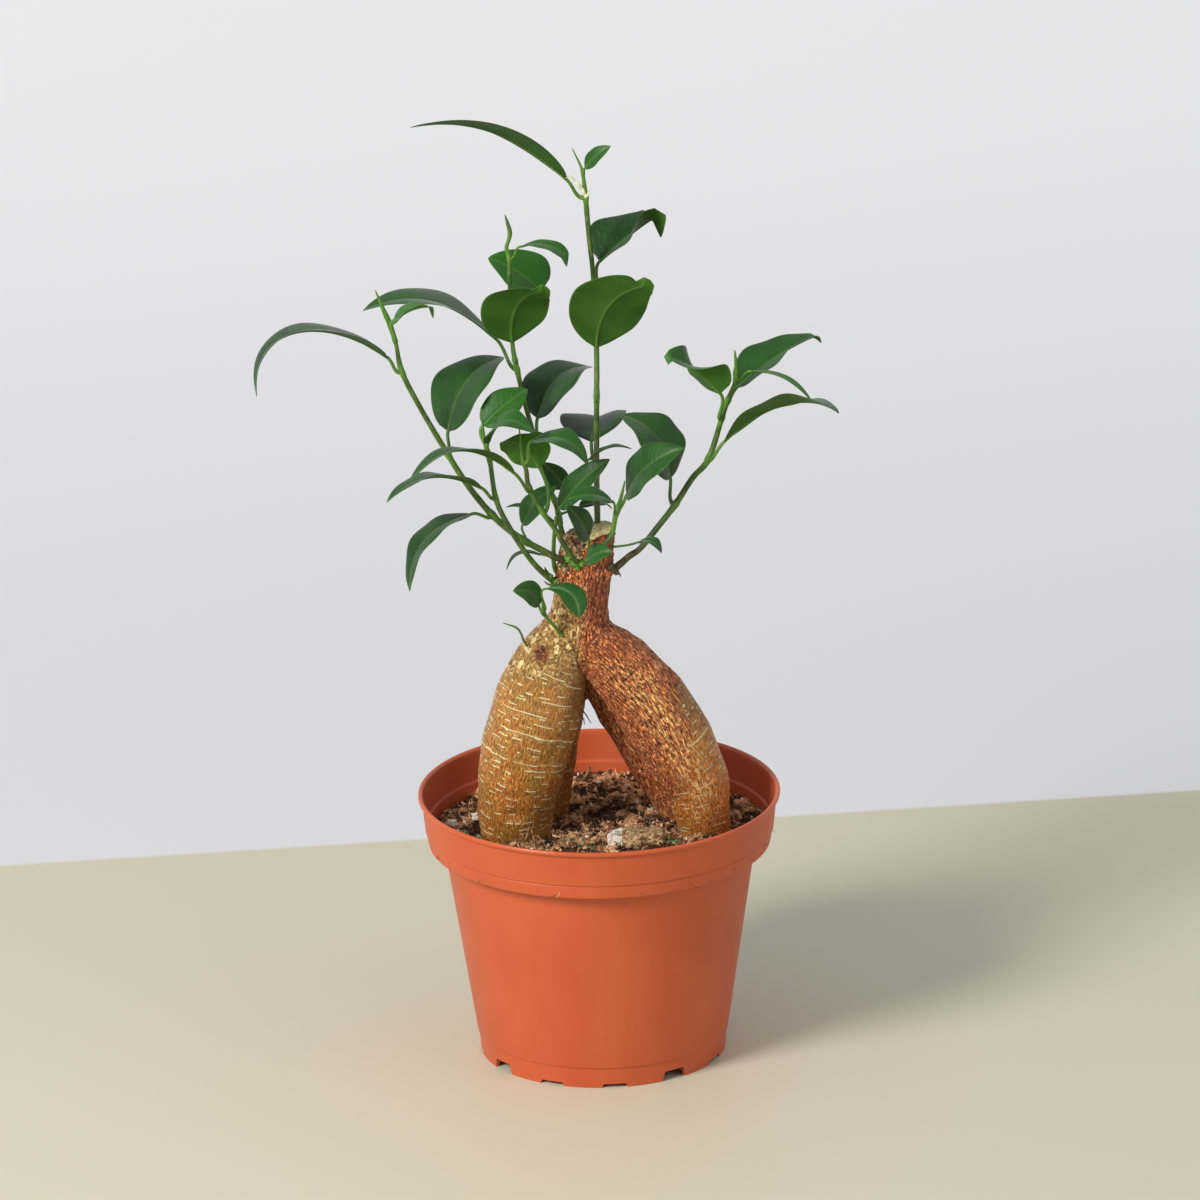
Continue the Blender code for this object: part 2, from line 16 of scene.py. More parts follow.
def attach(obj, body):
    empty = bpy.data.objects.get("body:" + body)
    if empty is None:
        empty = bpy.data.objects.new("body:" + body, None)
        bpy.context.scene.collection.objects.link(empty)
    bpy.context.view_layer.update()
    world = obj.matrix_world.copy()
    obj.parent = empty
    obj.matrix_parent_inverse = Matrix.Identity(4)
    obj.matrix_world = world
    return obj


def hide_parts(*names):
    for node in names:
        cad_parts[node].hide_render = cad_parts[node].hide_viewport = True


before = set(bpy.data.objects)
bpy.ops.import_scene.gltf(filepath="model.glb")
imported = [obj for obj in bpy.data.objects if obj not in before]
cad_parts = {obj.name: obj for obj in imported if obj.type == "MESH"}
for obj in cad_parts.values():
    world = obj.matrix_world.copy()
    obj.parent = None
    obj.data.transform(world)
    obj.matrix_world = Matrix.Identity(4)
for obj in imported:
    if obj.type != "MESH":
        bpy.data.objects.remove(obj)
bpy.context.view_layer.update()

# ------------------------------------------------------------------------------------------------ studio
# A pale matt table top runs back into a light grey sweep, which glows as painted light, dimmer near the table
# and a little darker towards the right. One broad soft lamp stands at the front left and a weak one at the
# right, and a long lens looks down a little on the plant, rolled by one degree.
MM = 0.001
UP = Vector((0, 0, 1))
TABLE_BACK = 0.261
TABLE_SLANT = -0.131


def add(kind, inputs=None, **settings):
    """A node of the tree in hand, with its settings, its fixed inputs and its links."""
    node = tree.nodes.new(kind)
    for key, value in settings.items():
        setattr(node, key, value)
    for key, value in (inputs or {}).items():
        if isinstance(value, bpy.types.NodeSocket):
            tree.links.new(value, node.inputs[key])
        else:
            node.inputs[key].default_value = value
    return node


def shader_input(key):
    return tree.nodes["Principled BSDF"].inputs[key.replace("_", " ")]


def new_material(name, **values):
    """A Principled material, with the values that are the same all over set on the shader itself.

    Its tree is the one in hand, which the helpers add to, until the next tree is begun.
    """
    global tree
    mat = bpy.data.materials.new(name)
    mat.use_nodes = True
    tree = mat.node_tree
    for key, value in values.items():
        shader_input(key).default_value = value
    return mat


def feed(**sources):
    """Links values that change over the surface to inputs of the material's shader."""
    for key, value in sources.items():
        tree.links.new(value, shader_input(key))


def maths(operation, a, b=0.0, c=0.0, clamp=False):
    return add("ShaderNodeMath", {0: a, 1: b, 2: c}, operation=operation, use_clamp=clamp).outputs[0]


def times(a, b):
    return maths("MULTIPLY", a, b)


def times_add(a, b, c):
    return maths("MULTIPLY_ADD", a, b, c)


def less(a, b):
    return maths("SUBTRACT", a, b)


def vectors(operation, a, b):
    return add("ShaderNodeVectorMath", {0: a, 1: b}, operation=operation).outputs[0]


def split(vector):
    return add("ShaderNodeSeparateXYZ", {0: vector}).outputs


def combine(*parts):
    return add("ShaderNodeCombineXYZ", dict(enumerate(parts))).outputs[0]


def remap(value, low, high, out_low=0.0, out_high=1.0):
    """The value's share of the way from low to high, eased at both ends and clamped."""
    inputs = {"Value": value, "From Min": low, "From Max": high, "To Min": out_low, "To Max": out_high}
    return add("ShaderNodeMapRange", inputs, interpolation_type="SMOOTHSTEP").outputs[0]


def blend(share, first, second, mode="MIX"):
    """Two colours mixed by a share. Each is a socket or (r, g, b)."""
    first, second = [c if isinstance(c, bpy.types.NodeSocket) else (*c, 1) for c in (first, second)]
    inputs = {0: share, 6: first, 7: second}
    return add("ShaderNodeMix", inputs, data_type="RGBA", blend_type=mode).outputs[2]


def layered(colour, *layers):
    """A colour under layers of (share, colour), with a blend mode where it is not a plain mix."""
    for share, coat, *mode in layers:
        colour = blend(share, colour, coat, *mode)
    return colour


def grain(vector, scale, detail=4.0, stretch=(1, 1, 1)):
    """Fractal noise of so many grains to the unit, stretched along the axes."""
    wide = vectors("MULTIPLY", vector, stretch)
    return add("ShaderNodeTexNoise", {"Vector": wide, "Scale": scale, "Detail": detail}).outputs[0]


def raise_surface(height, distance, strength=1.0):
    """Feeds a height to the shader's normal. The distance is what a height of 1 stands for, in metres."""
    bump = add("ShaderNodeBump", {"Height": height, "Distance": distance, "Strength": strength})
    feed(Normal=bump.outputs[0])


def attribute(name, output="Fac"):
    return add("ShaderNodeAttribute", attribute_name=name).outputs[output]


def object_place():
    return add("ShaderNodeTexCoord").outputs["Object"]


def new_object(name, data):
    obj = bpy.data.objects.new(name, data)
    bpy.context.scene.collection.objects.link(obj)
    return obj


def mesh_object(name, points, faces, mats, metres=False):
    """An object of its own mesh, shaded smooth."""
    mesh = bpy.data.meshes.new(name)
    mesh.from_pydata([tuple(p) if metres else (p[0] * MM, p[1] * MM, p[2] * MM) for p in points], [], faces)
    for mat in mats:
        mesh.materials.append(mat)
    mesh.shade_smooth()
    return new_object(name, mesh)


def area_lamp(name, place, aim, size, energy, colour):
    lamp = bpy.data.lights.new(name, "AREA")
    lamp.shape = "DISK"
    lamp.size = size
    lamp.energy = energy
    lamp.color = colour
    obj = new_object(name, lamp)
    obj.location = place
    obj.rotation_euler = (Vector(place) - Vector(aim)).to_track_quat("Z", "Y").to_euler()


table = new_material("table_top", Roughness=0.55, Emission_Strength=1.0)
place = add("ShaderNodeSeparateXYZ", {0: object_place()})
edge = times_add(place.outputs[0], TABLE_SLANT, place.outputs[1])
beyond = remap(edge, TABLE_BACK - 0.002, TABLE_BACK + 0.002)
feed(Base_Color=blend(beyond, (0.6, 0.56, 0.43), (0.3, 0.3, 0.31)))
# Painted light: past the table's edge the plane glows as the grey sweep, dimmer near the table and a little
# darker towards the right.
depth = remap(place.outputs[1], TABLE_BACK, 1.5)
backdrop_light = layered(
    blend(depth, (0.375, 0.374, 0.379), (0.57, 0.567, 0.566)),
    (remap(place.outputs[0], -0.5, 0.6, 0, 0.06), (0, 0, 0)),
)
feed(Emission_Color=blend(beyond, (0, 0, 0), backdrop_light))
corners = [(-6, -6, 0), (6, -6, 0), (6, 8, 0), (-6, 8, 0)]
floor = mesh_object("table", corners, [(0, 1, 2, 3)], [table], metres=True)

world = bpy.data.worlds.new("soft_room")
world.use_nodes = True
world.node_tree.nodes["Background"].inputs["Color"].default_value = (0.95, 0.97, 1.0, 1)
world.node_tree.nodes["Background"].inputs["Strength"].default_value = 0.55
bpy.context.scene.world = world
bpy.context.scene.view_settings.view_transform = "Standard"
area_lamp("key", (-1.55, -1.5, 1.55), (0, 0, 0.15), 0.9, 66, (1.0, 0.97, 0.93))
area_lamp("fill", (2.2, -1.2, 1.3), (0, 0, 0.15), 1.8, 7, (0.95, 0.97, 1.0))

LENS_ELEVATION = math.radians(19.7)
LENS_DISTANCE = 8.0
lens_target = Vector((0.0018, 0, 0.1985))
lens_back = Vector((0, -math.cos(LENS_ELEVATION), math.sin(LENS_ELEVATION)))
camera = new_object("camera", bpy.data.cameras.new("camera"))
camera.data.sensor_width = 36
camera.data.lens = 574.8
camera.data.clip_end = 40
camera.matrix_world = (
    Matrix.Translation(lens_target + lens_back * LENS_DISTANCE)
    @ lens_back.to_track_quat("Z", "Y").to_matrix().to_4x4()
    @ Matrix.Rotation(math.radians(-1), 4, "Z")
)
bpy.context.scene.camera = camera

# ------------------------------------------------------------------------------------------------ pot
# One thin injection-moulded nursery pot in terracotta-orange polypropylene: a rolled bead on a stepped
# collar, a plain tapered wall, and a skirt with twelve notches, every third one a drain under the floor.
POT_SIDES = 180
RIM_RADIUS = 76.0
POT_HEIGHT = 114.0
COLLAR_BOTTOM = 91.9
BASE_RADIUS = 51.4
SKIRT_TOP = 8.8
WALL = 1.1
FLOOR_BOTTOM = 2.0
FLOOR_THICKNESS = 1.2
NOTCHES = 12
FIRST_NOTCH = math.radians(5 - 90)
NOTCH_HALF_ANGLE = math.radians(6.7)


def wall_radius(z):
    """Outside radius of the tapered wall."""
    return BASE_RADIUS + 1.2 + 0.155 * (z - SKIRT_TOP)


def rounded(outline, steps=4):
    """An outline of (r, z, rounding) corners as (r, z) points, each rounded corner as a short curve."""
    points = []
    for i, (r, z, reach) in enumerate(outline):
        here = Vector((r, z))
        if not reach:
            points.append(here)
            continue
        ways = [Vector(outline[i + k][:2]) - here for k in (-1, 1)]
        ends = [here + way.normalized() * min(reach, way.length * 0.45) for way in ways]
        for k in range(steps + 1):
            t = k / steps
            points.append((1 - t) ** 2 * ends[0] + 2 * t * (1 - t) * here + t * t * ends[1])
    return points


def lathe(name, outline, sides, mats):
    """Turns an (r, z) outline that starts and ends on the axis about Z."""
    turned = outline[1:-1]
    points = [(0, 0, outline[0][1]), (0, 0, outline[-1][1])]
    for i in range(sides):
        angle = math.tau * i / sides
        points += [(r * math.cos(angle), r * math.sin(angle), z) for r, z in turned]
    rows, faces = len(turned), []
    for i in range(sides):
        a, b = 2 + i * rows, 2 + (i + 1) % sides * rows
        faces += [(a + k, b + k, b + k + 1, a + k + 1) for k in range(rows - 1)]
        faces += [(0, b, a), (1, a + rows - 1, b + rows - 1)]
    return mesh_object(name, points, faces, mats)


def face_outwards(obj):
    work = bmesh.new()
    work.from_mesh(obj.data)
    bmesh.ops.recalc_face_normals(work, faces=work.faces)
    work.to_mesh(obj.data)
    work.free()


def apply_modifiers(obj):
    """Turns the object's evaluated shape into its own plain mesh."""
    bpy.context.view_layer.update()
    mesh = bpy.data.meshes.new_from_object(obj.evaluated_get(bpy.context.evaluated_depsgraph_get()))
    obj.modifiers.clear()
    obj.data = mesh


plastic = new_material("pot_plastic", IOR=1.45)
where = object_place()
cloud = grain(where, 22, 3)
haze = remap(grain(where, 60, 5, (1, 1, 0.35)), 0.35, 0.75)
speck = remap(grain(where, 900, 2), 0.72, 0.8)
colour = layered(
    blend(remap(cloud, 0.3, 0.7), (0.5, 0.084, 0.0225), (0.55, 0.098, 0.028)),
    (times(haze, 0.16), (0.62, 0.165, 0.065)),
    (times(speck, 0.22), (0.74, 0.36, 0.22)),
)
feed(Base_Color=colour)
rim = remap(split(where)[2], 0.1115, 0.1125, 0, 0.18)
feed(Roughness=less(remap(haze, 0, 1, 0.4, 0.52), rim))
pebble = times_add(grain(where, 1500, 2), 0.5, grain(where, 260, 3))
raise_surface(pebble, 0.00016, 0.5)

pot_outline = rounded([
    (0, FLOOR_BOTTOM, 0),
    (BASE_RADIUS - 1.4, FLOOR_BOTTOM, 0.3),
    (BASE_RADIUS - 1.5, 0, 0.3),
    (BASE_RADIUS, 0, 0.3),
    (wall_radius(SKIRT_TOP) - 0.55, SKIRT_TOP, 0.15),
    (wall_radius(SKIRT_TOP), SKIRT_TOP + 0.35, 0.3),
    (wall_radius(COLLAR_BOTTOM - 1.2), COLLAR_BOTTOM - 1.2, 0.6),
    (wall_radius(COLLAR_BOTTOM) + 1.4, COLLAR_BOTTOM + 0.1, 0.5),
    (71.6, COLLAR_BOTTOM, 0.7),
    (72.45, 97.3, 0.1),
    (72.25, 97.55, 0.1),
    (73.0, 98.1, 0.35),
    (74.45, POT_HEIGHT - 2.7, 0.3),
    (75.35, POT_HEIGHT - 2.3, 0.4),
    (RIM_RADIUS, POT_HEIGHT - 1.5, 0.7),
    (RIM_RADIUS - 0.15, POT_HEIGHT - 0.4, 0.7),
    (RIM_RADIUS - 0.9, POT_HEIGHT, 0.5),
    (RIM_RADIUS - 2.1, POT_HEIGHT - 0.6, 0.6),
    (RIM_RADIUS - 2.5, POT_HEIGHT - 2.4, 0.8),
    (72.3, 100.9, 0.3),
    (71.3, 100.3, 0.3),
    (70.5, COLLAR_BOTTOM + WALL, 0.4),
    (wall_radius(COLLAR_BOTTOM) - WALL, COLLAR_BOTTOM + WALL, 0.5),
    (wall_radius(FLOOR_BOTTOM + FLOOR_THICKNESS) - WALL, FLOOR_BOTTOM + FLOOR_THICKNESS, 0.4),
    (0, FLOOR_BOTTOM + FLOOR_THICKNESS, 0),
])
pot = lathe("nursery_pot", pot_outline, POT_SIDES, [plastic])
face_outwards(pot)
points, faces = [], []
for k in range(NOTCHES):
    drain = k % 3 == 1
    height, reach = (4.3, 9) if drain else (1.7, 4)
    middle = FIRST_NOTCH + math.tau * k / NOTCHES
    out = Vector((math.cos(middle), math.sin(middle), 0))
    across = UP.cross(out)
    first = len(points)
    for radius in (BASE_RADIUS - reach, BASE_RADIUS + 4):
        foot, top = radius * math.tan(NOTCH_HALF_ANGLE), radius * math.tan(NOTCH_HALF_ANGLE * 0.78)
        corners = ((-foot, -1), (foot, -1), (top, height), (-top, height))
        points += [radius * out + side * across + z * UP for side, z in corners]
    faces += [[first + i for i in face] for face in
              ((0, 1, 2, 3), (7, 6, 5, 4), (0, 4, 5, 1), (1, 5, 6, 2), (2, 6, 7, 3), (3, 7, 4, 0))]
notches = mesh_object("notch_cutters", points, faces, [plastic])
face_outwards(notches)
cut = pot.modifiers.new("Notches", "BOOLEAN")
cut.operation = "DIFFERENCE"
cut.object = notches
apply_modifiers(pot)
bpy.data.objects.remove(notches)
pot.data.set_sharp_from_angle(angle=math.radians(38))
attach(pot, "root")
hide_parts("pot")

# ------------------------------------------------------------------------------------------------ rootstock
# The swollen trunk and its root legs, grown as one: a sawn and once-pruned stump that forks into two thick
# legs in front and two thin ones behind. Rough red-brown bark on the right, smooth olive-gold on the left.
LIMB_SIDES = 28
SKIN_VOXEL = 0.85
CUTS = [  # a point of the saw cut and of the pruning scar, and the way each looks
    (Vector((3, 0, 230.2)), Vector((-0.17, 0, 1)).normalized()),
    (Vector((-2, -8.5, 230)), Vector((-0.64, -0.62, 0.45)).normalized()),
]
SHOULDER = Vector((-14, -12, 190))
CRACKED = [(Vector((9.9, -18, 169)), 16, 1), (Vector((20, -22, 154)), 11, 0.9)]  # middle, reach, most
KNOBS = [  # middle, reach and height of each swelling under the shoots
    (Vector((-14.6, -6, 209)), 3.6, 2.2), (Vector((-13.6, -3, 203)), 3.0, 1.6),
    (Vector((5.5, -5, 212)), 3.4, 1.6), (Vector((-11, -8.5, 216)), 3.2, 1.5),
]
LIMBS = {  # x, y, z, radius, from the crown down
    "trunk": [(1.5, 0.5, 234, 8.8), (-2.4, 0, 226, 10.4), (-4.4, 0, 213, 11.2), (-6, 0, 199, 11.9),
        (-7.2, 0, 189, 13), (-7.5, 1, 178, 14)],
    "left_front": [(-10, 0, 187, 11), (-19.8, -2, 170, 16.2), (-25.2, -4, 153.3, 18.8),
        (-30.6, -5, 134, 18.4), (-34.5, -3, 111, 16.6), (-35, -1, 95, 14.6), (-35.5, 1, 78, 11.5)],
    "right_front": [(-3, -1, 182, 11), (10, -4, 170, 14.3), (23, -7, 154, 16.2), (34, -7, 134, 16),
        (40.8, -5, 116.6, 14), (44.4, -2, 96, 11), (46, 2, 78, 8)],
    "left_back": [(-9.5, 4, 177, 11), (-14.6, 11, 156, 10.3), (-18.5, 16, 131, 10.5), (-22, 21, 103, 10),
        (-25, 25, 82, 8)],
    "right_back": [(-3, 4, 176, 10.5), (8, 11, 152, 11), (19.5, 14, 129, 11.4), (29.5, 16, 110, 10.5),
        (35.5, 17, 95, 9), (39, 19, 78, 7)],
}
KNOTS = [  # x, z, radius, height of the ring round each healed bud on the left shoulder
    (-22.6, 180, 4.2, 1.1), (-31, 184, 2.4, 0.6), (-33.5, 178, 2.2, 0.5), (-27.5, 188, 2.3, 0.6),
    (-18, 187.5, 2.0, 0.5), (-14.5, 181, 2.3, 0.6), (-30.5, 171, 2.0, 0.5), (-37, 171.5, 2.2, 0.6),
    (-24.5, 172.5, 2.2, 0.5), (-16.2, 173.2, 2.1, 0.6), (-10.2, 175, 2.4, 0.6), (-12.5, 167.5, 2.2, 0.5),
    (-19.2, 194, 1.9, 0.5), (-13.2, 198.5, 1.8, 0.4), (-9, 187, 2.1, 0.5), (-36, 164, 1.8, 0.4),
]


def smooth_route(points, steps):
    """A Catmull-Rom curve through rows of numbers, with a number of steps in each span."""
    rows = [Vector(p) for p in points]
    rows = [2 * rows[0] - rows[1], *rows, 2 * rows[-1] - rows[-2]]
    route = []
    for i in range(1, len(rows) - 2):
        p0, p1, p2, p3 = rows[i - 1 : i + 3]
        for k in range(steps):
            t = k / steps
            route.append(
                0.5 * (2 * p1 + (p2 - p0) * t + (2 * p0 - 5 * p1 + 4 * p2 - p3) * t**2
                       + (3 * p1 - p0 - 3 * p2 + p3) * t**3)
            )
    return [*route, rows[-2]]


def tangents(route):
    ends = [route[0], *route, route[-1]]
    return [(ends[i + 2].to_3d() - ends[i].to_3d()).normalized() for i in range(len(route))]


def tube(route, sides):
    """Points and faces of a closed tube along a route of (x, y, z, radius)."""
    points, faces = [], []
    for row, along in zip(route, tangents(route)):
        side = along.cross(Vector((0, 1, 0)) if abs(along.y) < 0.9 else UP).normalized()
        up = side.cross(along)
        angles = [math.tau * i / sides for i in range(sides)]
        points += [row.to_3d() + row.w * (math.cos(a) * side + math.sin(a) * up) for a in angles]
    for ring in range(len(route) - 1):
        for i in range(sides):
            a, b = ring * sides + i, ring * sides + (i + 1) % sides
            faces.append((a, b, b + sides, a + sides))
    last = (len(route) - 1) * sides
    faces += [list(reversed(range(sides))), [last + i for i in range(sides)]]
    return points, faces


def joined(parts):
    """Several (points, faces) shells as one."""
    points, faces = [], []
    for more_points, more_faces in parts:
        first = len(points)
        points += more_points
        faces += [[first + i for i in face] for face in more_faces]
    return points, faces


limb_routes = [smooth_route(points, 8) for points in LIMBS.values()]
points, faces = joined([tube(route, LIMB_SIDES) for route in limb_routes])
rootstock = mesh_object("rootstock_bark", points, faces, [])
face_outwards(rootstock)
skin = rootstock.modifiers.new("Skin", "REMESH")
skin.mode = "VOXEL"
skin.voxel_size = SKIN_VOXEL * MM
ease = rootstock.modifiers.new("Ease", "SMOOTH")
ease.factor = 0.5
ease.iterations = 14
apply_modifiers(rootstock)

# Each point of the bark gets its place along and round the nearest limb, which its grain and colour follow.
limb_guides = []
for route in limb_routes:
    centres, run = kdtree.KDTree(len(route)), [0.0]
    for i, row in enumerate(route):
        centres.insert(row.to_3d(), i)
    centres.balance()
    for a, b in zip(route, route[1:]):
        run.append(run[-1] + (b.to_3d() - a.to_3d()).length)
    limb_guides.append((route, centres, run))


def place_on_limb(point):
    """(limb, distance along it, distance round it) for the limb whose surface is nearest."""
    best = None
    for number, (route, centres, _) in enumerate(limb_guides):
        _, i, distance = centres.find(point)
        depth = distance - route[i].w
        if best is None or depth < best[0]:
            best = (depth, number, i)
    _, number, i = best
    route, _, run = limb_guides[number]
    along = tangents(route[max(i - 1, 0) : i + 2])[0]
    away = point - route[i].to_3d()
    slide = away.dot(along)
    away -= along * slide
    side = along.cross(Vector((0, 1, 0))).normalized()
    front = side.cross(along)
    angle = math.atan2(away.dot(side), -away.dot(front) * (1 if front.y > 0 else -1))
    return number, run[i] + slide, angle * route[i].w


def bump_up(distance, width):
    """1 at the centre, easing to 0 at the width."""
    return max(0.0, 1 - (distance / width) ** 2) ** 2


def smoothstep(low, high, x):
    t = min(max((x - low) / (high - low), 0), 1)
    return t * t * (3 - 2 * t)


mesh = rootstock.data
grain_of, marks, sawn, moved = [], [], [], []
normals = [v.normal.copy() for v in mesh.vertices]
for vertex, normal in zip(mesh.vertices, normals):
    p = vertex.co / MM
    limb, s, a = place_on_limb(p)
    x, y, z = p
    patchy = noise(p / 14) * 14
    front = -normal.y
    if limb == 0:
        rough = 1.0
    elif limb == 2:
        rough = 1 - smoothstep(46, 84, s + 1.5 * min(max(a, -20), 16) + patchy * 1.3)
    elif limb == 1:
        rough = 0.75 * smoothstep(-4, 3, x - (z - 170) * 0.12 + patchy * 0.4) * smoothstep(150, 168, z)
    else:
        rough = 0.35 if limb == 3 else 0.8
    red = smoothstep(-9, 1, x + patchy * 0.3) if limb == 0 else 0.0
    gold, cracked = 0.0, 0.0
    if limb == 2:
        gold = bump_up(abs(a - 3 - patchy * 0.3), 11) * smoothstep(8, 30, s) * (1 - smoothstep(78, 100, s))
        red = 0.35 * smoothstep(4, -9, a + patchy * 0.3) * (1 - smoothstep(70, 96, s))
        beside = 0.45 * bump_up(abs(a - 17), 9) * smoothstep(20, 34, s) * (1 - smoothstep(52, 66, s))
        cracked = max(beside, *[most * bump_up((p - at).length, reach) for at, reach, most in CRACKED])
    ragged = patchy * 0.6 + noise(p / 4.5) * 7
    yellow = smoothstep(164, 178, z + patchy * 0.6) * smoothstep(0, -14, x + ragged)
    yellow *= 1 - smoothstep(203, 212, z + patchy * 0.4)
    yellow = max(yellow, 0.85 * bump_up((p - SHOULDER).length, 17))
    lift = noise(p / 17) * 0.9 + noise(p / 7.5) * 0.35
    lift += noise(Vector((s / 30, a / 4.5, limb * 9))) * 0.3 * (1 - 0.5 * rough)
    flake = noise(Vector((s / 6.5, a / 2.1, 30 + limb * 9)))
    lift += rough * (0.55 * max(flake, -0.1) + 0.18 * noise(p / 1.7))
    crack = noise(Vector((s / 1.5 + noise(p / 6) * 3, a / 9, 60 + limb * 9)))
    lift -= rough * 0.55 * max(0.0, crack - 0.42) * 3
    shade, light = 0.0, 0.0
    if limb in (0, 2) and x > -8 and 176 < z < 196:
        for k in range(7):
            off = (z - 176.5 - 2.8 * k - 0.42 * (x - 2) + patchy * 0.12) / 1.1
            lift += 0.4 * bump_up(off, 1.0) * smoothstep(-0.1, 0.5, front)
    if limb == 0 and z > 214:
        lift += 0.9 * noise(Vector((x / 7, y / 7, z / 1.5)))
    if front > 0.1:
        for knot_x, knot_z, size, tall in KNOTS:
            away = math.hypot(x - knot_x, z - knot_z)
            if away < size * 1.8:
                ring = bump_up(abs(away - size * 0.62), size * 0.5)
                lift += tall * (ring - 0.6 * bump_up(away, size * 0.5))
                shade = max(shade, smoothstep(size * 0.95, size * 0.6, away) * (1.0 if size > 4 else 0.25))
                yellow = max(yellow, 0.7 * bump_up(away, size * 1.6))
        dimple = math.hypot((x + 35) / 6.5, (z - 110) / 4.5)
        lift -= 1.2 * bump_up(dimple, 1.0)
        crease = abs(x + 24 + (z - 112) * 0.05) / 3.2
        lift -= 0.5 * bump_up(crease, 1.0) * smoothstep(128, 116, z) * smoothstep(98, 104, z)
    for knob, size, tall in KNOBS:
        lift += tall * bump_up((p - knob).length, size)
    for kind, (cut_point, cut_normal) in enumerate(CUTS):
        depth = (p - cut_point).dot(cut_normal)
        reach = 60 if kind == 0 else 22
        if (p - cut_point).length < reach and depth > -2.2:
            lift += 0.55 * smoothstep(-2.2, -0.4, depth) * (1 - smoothstep(-0.4, 0.3, depth)) * (kind + 0.4)
    aside, above = x + 30.5, z - 182
    slash = abs(aside * 0.66 + above * 0.75) / 1.1 + max(0, abs(aside * 0.75 - above * 0.66) - 3)
    if front > 0.1:
        lift += 0.8 * bump_up(slash, 1.0)
        light = max(light, bump_up(slash, 1.3))
    moved.append(p + normal * lift)
    grain_of.append((s, a, limb * 50.0))
    marks.append((min(max(rough, 0), 1), min(max(yellow, 0), 1), min(shade, 1), gold, red, cracked, light))

for index, p in enumerate(moved):
    wood = 0.0
    for kind, (cut_point, cut_normal) in enumerate(CUTS):
        depth = (p - cut_point).dot(cut_normal)
        if depth > 0 and (kind == 0 or (p - cut_point).length < 24):
            relief = 0.25 * noise(p / 2.2)
            if kind:
                relief += 0.7 * noise(p / 3.5) - 0.9 * smoothstep(0.2, 1.6, depth)
            p = p - cut_normal * (depth - relief)
            bare = p.x > -5.5 + 3 * noise(p / 3) if kind == 0 else depth < 0.5
            wood = 1.0 if bare else 0.5
    moved[index] = p
    sawn.append(wood)
mesh.vertices.foreach_set("co", np.array([tuple(p * MM) for p in moved], np.float32).ravel())


def set_attributes(obj, **fields):
    """Stores a number or a vector for each point of the object's mesh, under each name."""
    for name, values in fields.items():
        values = np.array(values, np.float32)
        kind, field = ("FLOAT_VECTOR", "vector") if values.ndim > 1 else ("FLOAT", "value")
        obj.data.attributes.new(name, kind, "POINT").data.foreach_set(field, values.ravel())


coarse, tan, dark, gilt, ruddy, cracked, pale = zip(*marks)
set_attributes(rootstock, grain=grain_of, coarse=coarse, tan=tan, sawn=sawn, dark=dark, gilt=gilt,
               ruddy=ruddy, split=cracked, pale=pale)

bark = new_material("bark", IOR=1.45)


def cross_strokes(run, pitch, half, stroke, cover):
    """Thin lines across a limb, a row to each pitch, in strokes. Half is a line's half thickness."""
    along, round_limb, limb = split(run)
    sway = times(grain(run, 0.06, 2), 3.0)
    place = maths("DIVIDE", maths("ADD", along, sway), pitch)
    row = maths("FLOOR", place)
    chance = add("ShaderNodeTexWhiteNoise", {"Vector": combine(row, limb)}).outputs["Value"]
    middle = times_add(chance, 0.5, 0.25)
    off = times(less(maths("FRACT", place), middle), pitch)
    spot = combine(maths("DIVIDE", round_limb, stroke), times(row, 7.3), limb)
    here = remap(grain(spot, 1.0, 2), cover, cover + 0.05)
    reach = times_add(here, half, half * 0.3)
    level = maths("DIVIDE", maths("ABSOLUTE", off), reach)
    return times(remap(level, 1.0, 0.45), here)


where = object_place()
run = attribute("grain", "Vector")
rough_bark, tan_bark, cut_wood, knot_shade = (attribute(n) for n in ("coarse", "tan", "sawn", "dark"))
wobble = add("ShaderNodeTexNoise", {"Vector": run, "Scale": 0.22, "Detail": 3.0}).outputs[1]
bent = vectors("ADD", run, vectors("MULTIPLY", wobble, (2.6, 2.6, 0)))
across, deep, up = split(where)

# smooth olive-gold bark: fine upright streaks, greener above and browner towards the mix, with painted shade
# in the crotch
streak = grain(run, 1.0, 5, (0.07, 0.9, 1))
fine_streak = grain(run, 1.0, 4, (0.5, 3.2, 1))
sparkle = grain(run, 1.0, 3, (0.45, 1.4, 1))
patch = grain(where, 55, 3)
blush = grain(where, 95, 4)
smooth_colour = layered(
    blend(remap(streak, 0.33, 0.68), (0.37, 0.12, 0.014), (0.69, 0.262, 0.038)),
    (remap(patch, 0.45, 0.62, 0, 0.75), (0.27, 0.15, 0.022)),
    (remap(blush, 0.54, 0.66, 0, 0.7), (0.52, 0.15, 0.034)),
    (remap(across, 0.005, 0.03, 0, 0.7), (0.78, 0.235, 0.045)),
    (remap(up, 0.13, 0.098, 0, 0.6), (0.32, 0.12, 0.02)),
    (remap(up, 0.112, 0.142, 0, 0.4), (0.3, 0.15, 0.02)),
)
# Painted shade: the smooth bark is darkened in the crotch, on the inner side of the left leg where the legs
# part.
crotch_shade = times(remap(across, -0.019, -0.008), remap(up, 0.138, 0.158))
smooth_colour = layered(
    smooth_colour,
    (times(crotch_shade, 0.6), (0.15, 0.08, 0.012)),
    (remap(fine_streak, 0.52, 0.64, 0, 0.7), (0.84, 0.47, 0.13)),
    (remap(fine_streak, 0.47, 0.36, 0, 0.85), (0.085, 0.032, 0.007)),
)

